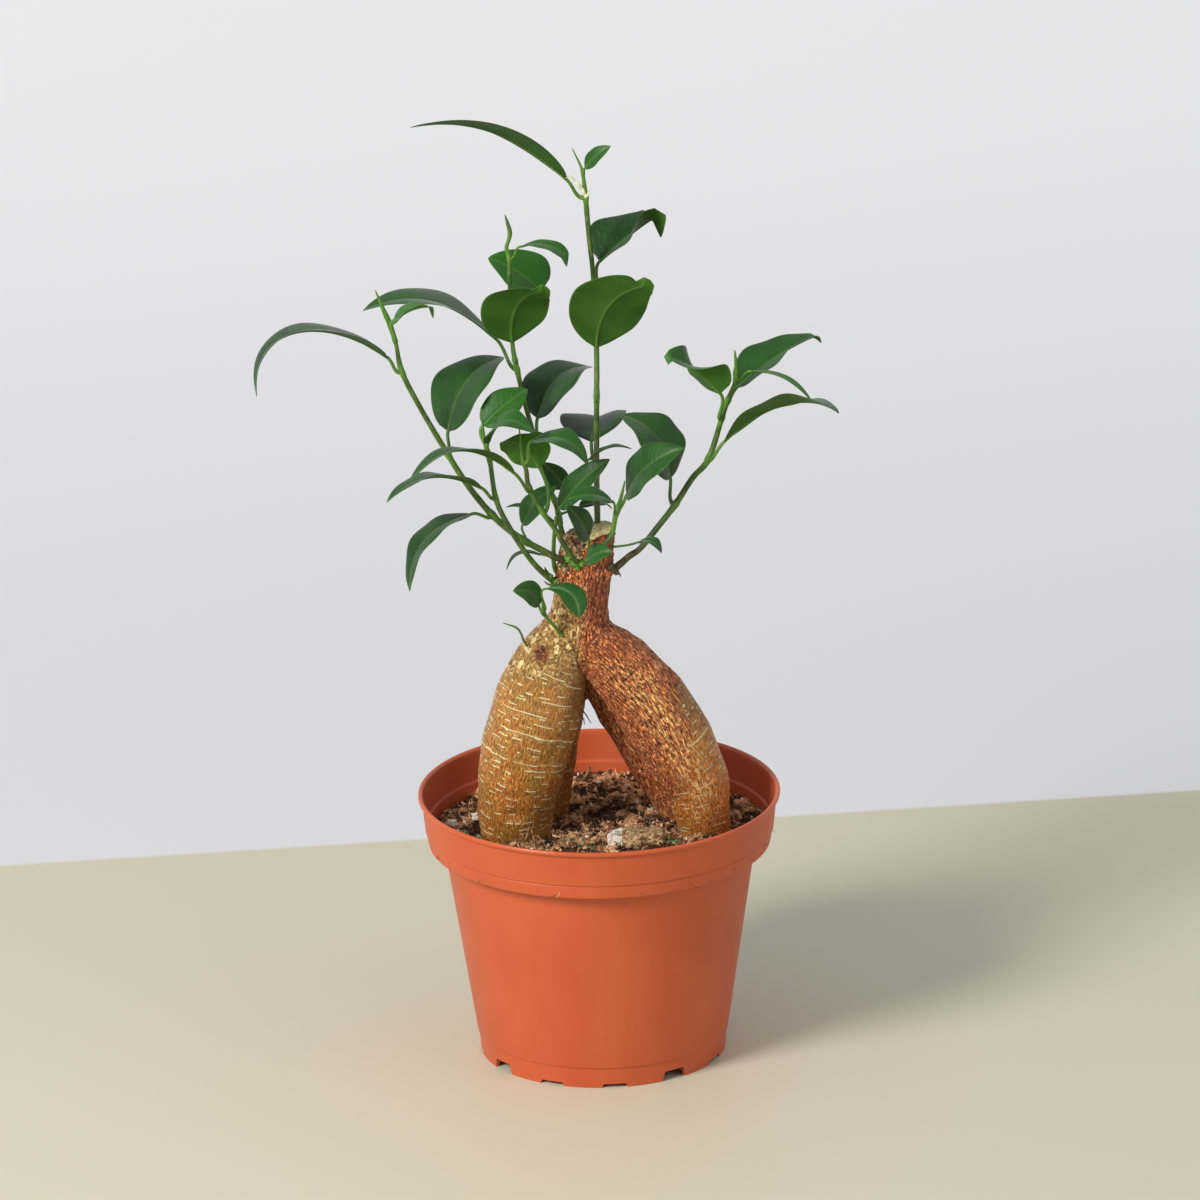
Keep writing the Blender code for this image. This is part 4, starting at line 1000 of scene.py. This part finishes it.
LEAVES = {  # height of the node on its shoot, base, tip, arch, width, way the face looks, what is unusual
    "leaf_tall_1": (384, (-1.3, 4, 387.4), (9.4, 0, 398), 1.5, 7.5, (-0.5, -0.6, 0.5), dict(youth=0.35)),
    "leaf_tall_2": (373, (-9.1, 7, 381.5), (-73, -10, 411), 9, 24, (0.3, 0.46, 0.83), dict(wavy=0)),
    "leaf_tall_3": (334, (4.1, 13, 343.3), (33, 28, 360.5), 1.5, 26, (-0.4, -0.3, 0.87),
        dict(lean=0.6, fold=0.7, nod=(0.45, -0.2, -1), nod_at=0.74, widest=0.34, turn=-0.5)),
    "leaf_tall_4": (284, (2.2, 3, 309.2), (25.6, -24, 345), 3, 31, (0.17, 0.82, 0.55),
        dict(lean=0.65, widest=0.45, fold=0.2, sweep=7, youth=0.1, nod=(0.1, -0.3, 1), nod_at=0.88)),
    "leaf_tall_5": (254, (-0.6, 14, 264), (3, 50, 262), 3, 28, (-0.1, -0.1, 1), dict(fold=0.4)),
    "leaf_tall_6": (251, (-2, 2, 260), (16.1, 2, 264.4), 3, 8, (0, 0.2, 1), {}),
    # The youth of leaf_middle_1 is partly painted sheen on its upper side.
    "leaf_middle_1": (348, (-28.8, 2, 354.2), (-6.8, -8, 349.2), 5, 8.5, (0, -0.2, 1),
        dict(youth=0.45, nod=(0.2, -0.1, -1), widest=0.58)),
    # The youth of leaf_middle_2 is partly painted light on its brightly lit lobe.
    "leaf_middle_2": (322, (-20.5, 27, 325.6), (-42.3, 24, 341.9), 2, 22, (0.51, -0.74, 0.43),
        dict(fold=0.45, youth=0.7, sweep=1, widest=0.3)),
    "leaf_middle_3": (302, (-32.8, 0, 313.1), (-17.8, -26, 343), 5, 28.5, (-0.1, 0.8, 0.55),
        dict(lean=0.75, widest=0.45, youth=0.15, nod=(0.1, -0.3, 1), nod_at=0.88, sweep=5.2, fold=0.15)),
    "leaf_middle_4": (298, (-39.5, 13, 310), (-94.4, 0, 328), 10, 26, (0, 0, 1), dict(lean=0.6)),
    "leaf_middle_5": (266.5, (-23, 15, 274), (0, 36, 289), 8, 29, (-0.65, -0.5, 0.55), {}),
    "leaf_middle_6": (240.5, (-11.8, 6, 246.5), (-20.8, 2, 259), 1.5, 9, (-0.3, -0.6, 0.7), {}),
    "leaf_middle_7": (234, (-6.1, 14, 235), (7.3, 24, 230.5), 3, 8, (0, -0.3, 1), {}),
    "leaf_middle_8": (231, (-20, 4, 235), (-36.6, 3, 239.4), 2, 6, (0, 0, 1), {}),
    "leaf_left_1": (320, (-82, -20.4, 330.2), (-61.8, -32, 339.3), 3, 13, (-0.2, -0.3, 0.9),
        dict(lean=0.65, youth=0.8, nod=(0.3, -0.3, -1), widest=0.28, turn=-0.8)),
    "leaf_left_2": (306.4, (-84.7, -17, 313.1), (-138.9, -30, 301.4), 21, 24, (-0.25, 0.15, 0.95),
        dict(hook=0.26, widest=0.3)),
    "leaf_left_3": (268.5, (-60.2, -6, 276.3), (-36.7, 15, 301.3), 8, 31, (-0.7, -0.55, 0.4), {}),
    "leaf_left_4": (241.3, (-50.8, -18, 244), (-77.2, -34, 216.1), 9.5, 17, (-0.6, -0.2, 0.75), {}),
    "leaf_low_left_1": (270.5, (-45.6, -14, 281.4), (-26.9, -6, 294.3), 2, 15, (-0.3, -0.75, 0.55),
        dict(youth=0.6)),
    "leaf_low_left_2": (268, (-43.6, -24.5, 277.6), (-24.3, -36, 285.5), 8, 16, (0, -0.3, 1),
        dict(lean=0.65, youth=0.5)),
    "leaf_low_left_3": (251.8, (-46.9, -26, 258.3), (-85.8, -46, 259.6), 7.5, 17, (-0.13, 0.18, 0.9), {}),
    "leaf_front_1": (266.5, (-25.2, -24, 277.7), (-2.4, -36, 271.3), 7, 14, (0, -0.2, 1),
        dict(lean=0.6, youth=0.4)),
    "leaf_front_2": (254.6, (-33, -29, 265.6), (-76, -52, 271), 11, 17, (-0.06, 0.22, 0.9), {}),
    "leaf_front_3": (243.5, (-22.5, -10, 261.1), (-36.5, -18, 276), 4, 22, (-0.1, 0.7, 0.7),
        dict(youth=0.8)),
    "leaf_left_5": (229, (-30, -5, 234), (-15.5, -1, 249.6), 3, 12, (-0.6, -0.6, 0.5), dict(youth=0.3)),
    "leaf_inner_1": (238.6, (-14.5, -10.4, 243), (6.8, -16, 266.3), 3, 12.5, (-0.5, -0.7, 0.5),
        dict(youth=0.15)),
    "leaf_inner_2": (219, (-22.7, 0, 219.3), (-37, -3, 213.8), 4, 7, (0, 0.2, 1), {}),
    "leaf_stump_1": (243, (13.6, -9, 247.8), (37.8, -24, 273.4), 5.5, 20, (-0.6, -0.5, 0.6),
        dict(youth=0.15)),
    "leaf_stump_2": (241.5, (7.6, -21, 249.6), (-10.6, -34.5, 255.6), 3, 9.5, (0, -0.5, 0.85),
        dict(youth=0.6)),
    "leaf_stump_3": (222.5, (-2.5, -17, 232), (-11.5, -27, 249.7), 2, 12, (0.3, -0.75, 0.6), {}),
    "leaf_stump_4": (221, (-3.5, -17, 222.4), (7.4, -26, 229), 2, 10, (0, -0.7, 0.7), dict(youth=0.3)),
    "leaf_stump_5": (FREE_FOOT, (18.3, -6, 226), (27.8, -11, 222.8), 3, 8, (0, 0, 1), dict(youth=0.3)),
    "leaf_right_1": (293.4, (65.9, -2, 299.1), (91.5, -20, 291), 4.5, 4.6, (0, 0.1, 1), dict(youth=0.5)),
    # The youth of leaf_right_2 is partly painted sheen on its upper side.
    "leaf_right_2": (284, (60.6, 9, 288.5), (96.5, 24, 306.3), 2.5, 23, (-0.32, -0.24, 0.92),
        dict(fold=0.5, youth=0.2, nod=(0.7, 0, -0.7), nod_at=0.87, widest=0.36, turn=-0.25)),
    "leaf_right_3": (276.4, (53.2, -1, 289.3), (30.5, -14, 310), 3, 22, (0.35, 0.75, 0.55),
        dict(lean=0.7, widest=0.32, fold=0.5, youth=0.45, nod=(-0.2, 0, -1), nod_at=0.88, turn=-1.1)),
    "leaf_right_4": (259.1, (54.5, -1, 267.8), (102.3, -16, 284.8), 9, 27, (0, 0.4, 0.9),
        dict(widest=0.55, hook=0.12, youth=0.35)),
    "leaf_right_5": (239, (32.1, 8, 248.7), (12.1, 16, 274.6), 8, 26, (0.65, -0.5, 0.5), {}),
    "leaf_shoulder_1": (198.6, (-23.6, -20.6, 203.6), (-34.2, -30, 213.9), 1.5, 10.5, (0, -0.8, 0.6),
        dict(sweep=2.6, youth=0.3)),
    "leaf_shoulder_2": (201, (-21, -21, 211.4), (-7.1, -30, 201.8), 2.5, 10.5, (0, -0.6, 0.8),
        dict(widest=0.62, sweep=-4.4, youth=0.25)),
}



def stem_of(leaf_name):
    """The shoot that a leaf grows on, which its name holds."""
    return "stem_" + leaf_name.removeprefix("leaf_")[:-2]


shoot_green = new_material("green_shoot", Roughness=0.42)
where = object_place()
woody, young = attribute("woody"), attribute("young")
fine = grain(where, 700, 4, (1, 1, 0.25))
colour = layered(
    blend(remap(grain(where, 120, 3), 0.35, 0.65), (0.032, 0.078, 0.009), (0.068, 0.14, 0.015)),
    (young, (0.1, 0.27, 0.022)),
    (times(remap(fine, 0.55, 0.68), 0.35), (0.28, 0.36, 0.1)),
)
brown = blend(remap(fine, 0.35, 0.62), (0.034, 0.026, 0.008), (0.11, 0.078, 0.024))
colour = blend(woody, colour, brown)
feed(Base_Color=colour)
raise_surface(fine, 0.0003, 0.5)


def place_on_shoot(name, height):
    """Centre, direction and radius where a shoot passes a height."""
    route = shoots[name]
    along = tangents(route)
    for i, (low, high) in enumerate(zip(route, route[1:])):
        if low.z <= height <= high.z:
            row = low.lerp(high, (height - low.z) / (high.z - low.z))
            return row.to_3d(), along[i].lerp(along[i + 1], 0.5).normalized(), row.w
    raise ValueError(f"no point of {name} is at height {height}")


def make_shoot(name, route):
    nodes = [leaf[0] for key, leaf in LEAVES.items() if stem_of(key) == name and leaf[0] is not FREE_FOOT]
    rows = []
    for row in route:
        swell = sum(0.34 * bump_up(row.z - height - 0.4, 2.2) for height in nodes)
        collar = 0.6 * bump_up((row - route[0]).length, 4.5)
        knob = 0.06 * noise(row.to_3d() / 2.5)
        rows.append(Vector((row.x, row.y, row.z, row.w * (1 + min(swell, 0.5) + collar + knob))))
    points, faces = tube(rows, SHOOT_SIDES)
    obj = mesh_object(name + "_fine", points, faces, [shoot_green])
    face_outwards(obj)
    from_z, to_z, amount = WOODY.get(name, (0, 1, 0))
    top = route[-1].z
    brown, fresh = [], []
    for vertex in obj.data.vertices:
        z = vertex.co.z / MM
        nearest = min([abs(z - height) for height in nodes], default=99)
        brown.append(amount * smoothstep(from_z - 8, from_z + 2, z) * smoothstep(to_z + 6, to_z - 4, z))
        fresh.append(max(0.65 * smoothstep(top - 34, top - 14, z), 0.6 * (1 - smoothstep(1, 5, nearest))))
    set_attributes(obj, woody=brown, young=fresh)
    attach(obj, "root")
    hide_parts(name)


shoots = {name: smooth_route(rows, 6) for name, rows in STEMS.items()}
for name, route in shoots.items():
    make_shoot(name, route)

CALLUS = [  # x, y, z, radius, brownness, freshness of each swelling where a shoot breaks the bark
    (-8.5, -9.6, 218.3, 2.1, 0.1, 0.5), (-11.2, -8, 219.6, 1.7, 0.0, 0.8),
    (-5.6, -10.4, 218.6, 1.6, 0.0, 0.9), (-12.6, -6.3, 217, 1.6, 0.5, 0.3),
    (-7.4, -10.6, 216.6, 1.1, 0.0, 1.0), (7.4, -3.2, 213.4, 2.0, 1.0, 0), (8.8, -3.6, 211.8, 1.2, 1.0, 0),
    (6.2, -5.4, 215, 1.3, 0.8, 0), (-16.6, -6.3, 209.3, 1.9, 0.2, 0.6), (-15.6, -6.2, 206.2, 1.6, 0.7, 0.1),
    (-19, -8.2, 212.3, 1.4, 0.0, 0.7), (-14.4, -7.6, 204, 1.2, 0.9, 0),
    (-14.6, -10.4, 187.2, 1.2, 0.2, 0.5),
]
STUBS = [  # routes of the dried stumps of bracts beside them
    [(-17.6, -7.4, 210.8, 0.9), (-19.8, -8.4, 213.6, 0.8), (-21, -9, 216.6, 0.25)],
    [(-16, -6.6, 208.2, 0.7), (-19.4, -8, 208.6, 0.5), (-21.4, -8.6, 210.4, 0.2)],
    [(7.4, -3.4, 212.8, 0.8), (9.8, -3.4, 211.6, 0.5), (10.6, -3.2, 209.8, 0.2)],
    [(-4.6, -10.4, 219.4, 0.7), (-3.2, -11.8, 221.8, 0.6), (-3, -12, 224.4, 0.2)],
]
parts, woody_of, young_of = [], [], []
for x, y, z, radius, brown, fresh in CALLUS:
    middle = Vector((x, y, z))
    parts.append(ball(3, radius, lambda co: co * (1 + 0.35 * noise(co / 0.9 + middle)) + middle))
    woody_of += [brown] * len(parts[-1][0])
    young_of += [fresh] * len(parts[-1][0])
for route in STUBS:
    parts.append(tube(smooth_route(route, 4), 8))
    woody_of += [0.45] * len(parts[-1][0])
    young_of += [0.4] * len(parts[-1][0])
points, faces = joined(parts)
callus = mesh_object("shoot_callus", points, faces, [shoot_green])
face_outwards(callus)
set_attributes(callus, woody=woody_of, young=young_of)
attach(callus, "root")

papery = new_material("papery_sheath", Roughness=0.6)
colour = blend(remap(grain(object_place(), 700, 3), 0.4, 0.6), (0.52, 0.58, 0.3), (0.85, 0.86, 0.62))
feed(Base_Color=colour)
SHEATHS = [
    [(-1.6, 7, 374.6, 0.9), (-2.6, 6.2, 377.4, 0.75), (-5, 5.8, 380.4, 0.55), (-8, 5.6, 383.4, 0.3),
        (-9.6, 5.6, 382.2, 0.1)],
    [(-1.2, 6.4, 373.6, 0.7), (0.2, 6, 376.2, 0.35), (0.4, 6, 377.4, 0.1)],
]
points, faces = joined([tube(smooth_route(route, 5), 8) for route in SHEATHS])
sheath = mesh_object("papery_sheaths", points, faces, [papery])
face_outwards(sheath)
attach(sheath, "root")

# ------------------------------------------------------------------------------------------------ leaves
# Thin leathery blades, glossy dark green above and paler below, folded along a grooved midrib that runs on
# as a slim stalk. The youngest ones are smaller and bright green.
BLADE_ROWS = 30
BLADE_COLUMNS = (0, 0.035, 0.08, 0.18, 0.32, 0.47, 0.62, 0.77, 0.9, 0.97, 1)
BLADE_THICKNESS = 0.42
LEAF_FOLD = 0.26
LEAF_DROOP = 0.1
STALK_SIDES = 8

# The masks of a blade's pattern. The vein vector holds the distance from the midrib, along it and across.
tree = pattern = bpy.data.node_groups.new("leaf_pattern", "ShaderNodeTree")
for name in ("Place", "Vein"):
    tree.interface.new_socket(name, in_out="INPUT", socket_type="NodeSocketVector")
for name in ("Cloud", "Side veins", "Midrib", "Margin", "Quilt"):
    tree.interface.new_socket(name, in_out="OUTPUT", socket_type="NodeSocketFloat")
given = add("NodeGroupInput").outputs
place = given["Place"]
cross = split(given["Vein"])
off = maths("ABSOLUTE", cross[0])
wander = times(grain(place, 260, 2), 1.2)
rise = times_add(off, -0.62, cross[1])
phase = maths("FRACT", times_add(rise, 0.36, wander))
veins = remap(maths("ABSOLUTE", less(phase, 0.5)), 0.1, 0.02)
veins = times(veins, remap(cross[2], 0.95, 0.7))
add("NodeGroupOutput", {
    "Cloud": grain(place, 90, 4),
    "Side veins": veins,
    "Midrib": remap(off, 0.75, 0.25),
    "Margin": remap(cross[2], 0.955, 0.99),
    "Quilt": times_add(veins, -0.35, grain(place, 500, 3)),
})


def leaf_material(name, deep, light, fresh, vein, rib, **values):
    """A blade's finish: deep to light in clouds, fresh where it is young and where painted light lifts it,
    with paler veins and margin.
    """
    mat = new_material(name, **values)
    masks = add("ShaderNodeGroup", node_tree=pattern)
    tree.links.new(object_place(), masks.inputs["Place"])
    tree.links.new(attribute("vein", "Vector"), masks.inputs["Vein"])
    masks = masks.outputs
    cloud = times_add(attribute("tint"), 0.35, masks["Cloud"])
    colour = layered(blend(remap(cloud, 0.4, 0.85), deep, light), (attribute("young"), fresh))
    for mask, share in (("Side veins", 0.07), ("Midrib", rib), ("Margin", 0.45)):
        colour = blend(times(masks[mask], share), colour, vein)
    feed(Base_Color=colour)
    raise_surface(masks["Quilt"], 0.00022, 0.6)
    return mat


leaf_top = leaf_material(
    "leaf_upper",
    (0.0085, 0.042, 0.0075), (0.019, 0.076, 0.012), (0.03, 0.145, 0.013), (0.09, 0.19, 0.035), 0.4,
    Roughness=0.4, Specular_IOR_Level=0.22, Sheen_Weight=0.15, Sheen_Roughness=0.45,
)
leaf_under = leaf_material(
    "leaf_underside",
    (0.018, 0.062, 0.0075), (0.034, 0.096, 0.011), (0.055, 0.175, 0.016), (0.14, 0.24, 0.04), 0.35,
    Roughness=0.55, Specular_IOR_Level=0.15,
)


def half_width(t, width, widest):
    """Half the blade's width at a share t of its length."""
    return width / 2 * math.sin(math.pi * min(t, 0.999) ** (math.log(0.5) / math.log(widest))) ** 0.7


def bezier(a, b, c, d, t):
    s = 1 - t
    return s**3 * a + 3 * s * s * t * b + 3 * s * t * t * c + t**3 * d


def midrib_curve(base, tip, arch, lean, face, hook, sweep):
    """A function giving the midrib's point, direction and upper side at a share of its length."""
    chord = tip - base
    rise = (face - face.project(chord)).normalized()
    bow = chord.cross(rise).normalized() * sweep * 4 / 3
    early = base + chord / 3 + rise * arch * 8 / 3 * (1 - lean) + bow
    late = base + chord * (2 / 3 + hook) + rise * arch * 8 / 3 * lean + bow

    def place(t):
        s = 1 - t
        point = bezier(base, early, late, tip, t)
        along = (s * s * (early - base) + 2 * s * t * (late - early) + t * t * (tip - late)).normalized()
        return point, along, (rise - rise.project(along)).normalized()

    return place


def nodding(place, length, way, start):
    """The same midrib with its last part turned over towards a way, as a drying tip curls."""
    corner, first, up = place(start)
    side, way = first.cross(up), Vector(way).normalized()

    def bent(t):
        if t <= start:
            return place(t)
        point, steps = corner.copy(), 24
        for k in range(steps):
            share = start + (t - start) * (k + 1) / steps
            along = first.lerp(way, smoothstep(start, start + 0.08, share)).normalized()
            point += along * (t - start) * length / steps
        return point, along, (side - side.project(along)).normalized().cross(along)

    return bent


def turning(place, angle):
    """The same midrib with the blade turned about it by an angle, halfway along."""
    def turned(t):
        point, along, up = place(t)
        return point, along, Quaternion(along, angle * smoothstep(0.25, 0.8, t)) @ up

    return turned


def make_leaf(name, number, height, base, tip, arch, width, face, lean=0.55, widest=0.42, fold=LEAF_FOLD,
              hook=0, sweep=0, turn=0, youth=0, wavy=1, nod=None, nod_at=0.78):
    base, tip, face = Vector(base), Vector(tip), Vector(face)
    place = midrib_curve(base, tip, arch, lean, face, hook, sweep)
    length = sum((place(k / 20)[0] - place((k - 1) / 20)[0]).length for k in range(1, 21))
    if turn:
        place = turning(place, turn)
    if nod:
        place = nodding(place, length, nod, nod_at)
    dice = random.Random(number)
    phase, ripple, beat = dice.uniform(0, math.tau), wavy * dice.uniform(0.03, 0.07), dice.uniform(1.6, 2.6)
    spans = [*(-u for u in reversed(BLADE_COLUMNS[1:])), *BLADE_COLUMNS]
    columns = len(spans)
    upper, lower, marks, fresh = [], [], [], []
    for row in range(BLADE_ROWS + 1):
        t = row / BLADE_ROWS
        point, along, up = place(t)
        side = along.cross(up)
        half = max(half_width(t, width, widest), 0.22)
        slim = 1 - smoothstep(0.9, 1.0, t)
        for u in spans:
            x = u * half
            crease = math.sqrt(x * x + 0.35) - 0.59
            lift = fold * crease - LEAF_DROOP * x * x / max(half, 1)
            wave = math.sin(beat * math.tau * t + phase + (1.3 if u > 0 else 0))
            lift += ripple * half * abs(u) ** 3 * wave
            thick = BLADE_THICKNESS / 2 * math.sqrt(max(1 - abs(u) ** 6, 0.02)) * (0.4 + 0.6 * slim)
            groove = 0.22 * math.exp(-((x / 0.55) ** 2)) * slim
            rib = 0.55 * math.exp(-((x / 0.5) ** 2)) * (1 - 0.75 * t)
            upper.append(point + side * x + up * (lift + thick - groove))
            lower.append(point + side * x + up * (lift - thick - rib))
            marks.append((x, t * length, abs(u)))
            # On a nodding leaf the turned tip gets half a share more of the fresh colour: painted light on a
            # tip that lies in shade.
            fresh.append(min(1, youth + 0.5 * smoothstep(nod_at, nod_at + 0.06, t)) if nod else youth)
    count = len(upper)
    faces, kinds = [], []
    for row in range(BLADE_ROWS):
        for column in range(columns - 1):
            a = row * columns + column
            faces += [(a, a + 1, a + columns + 1, a + columns),
                      (count + a, count + a + columns, count + a + columns + 1, count + a + 1)]
            kinds += [0, 1]
        here = row * columns
        for a, b in ((here, here + columns), (here + 2 * columns - 1, here + columns - 1)):
            faces.append((a, b, count + b, count + a))
            kinds.append(0)
    for column in range(columns - 1):
        for a, flip in ((column, False), (BLADE_ROWS * columns + column, True)):
            face_points = (a, count + a, count + a + 1, a + 1)
            faces.append(tuple(reversed(face_points)) if flip else face_points)
            kinds.append(0)

    _, along, up = place(0)
    if height is FREE_FOOT:
        start = Vector(height)
        out = (base - start).normalized()
    else:
        centre, run, radius = place_on_shoot(stem_of(name), height)
        out = base - centre
        out = (out - out.project(run)).normalized()
        start = centre + out * radius * 0.4
    reach = (base - start).length
    stalk = 0.72 if width > 12 else 0.5
    bend, ease = start + out * reach * 0.35, base - along * reach * 0.4
    rows = []
    for k in range(13):
        t = k / 12
        rows.append(Vector((*bezier(start, bend, ease, base, t), stalk * (1 + 0.55 * (1 - t) ** 4))))
    for t, share in ((0.05, 0.72), (0.12, 0.5), (0.2, 0.3)):
        point, _, up = place(t)
        rows.append(Vector((*(point - up * 0.35), stalk * share)))
    stalk_points, stalk_faces = tube(rows, STALK_SIDES)
    first = 2 * count
    faces += [[first + i for i in face] for face in stalk_faces]
    kinds += [2] * len(stalk_faces)
    points = [*upper, *lower, *stalk_points]
    obj = mesh_object(name + "_fine", points, faces, [leaf_top, leaf_under, shoot_green])
    obj.data.polygons.foreach_set("material_index", kinds)
    face_outwards(obj)
    total = len(obj.data.vertices)
    set_attributes(obj, vein=[*marks, *marks, *[(0, 0, 0)] * len(stalk_points)],
                   young=[*fresh, *fresh, *[0.45 + 0.4 * youth] * len(stalk_points)],
                   tint=[dice.random()] * total, woody=[0.0] * total)
    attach(obj, "root")
    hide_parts(name)


for number, (name, (*sizes, unusual)) in enumerate(LEAVES.items()):
    make_leaf(name, number, *sizes, **unusual)
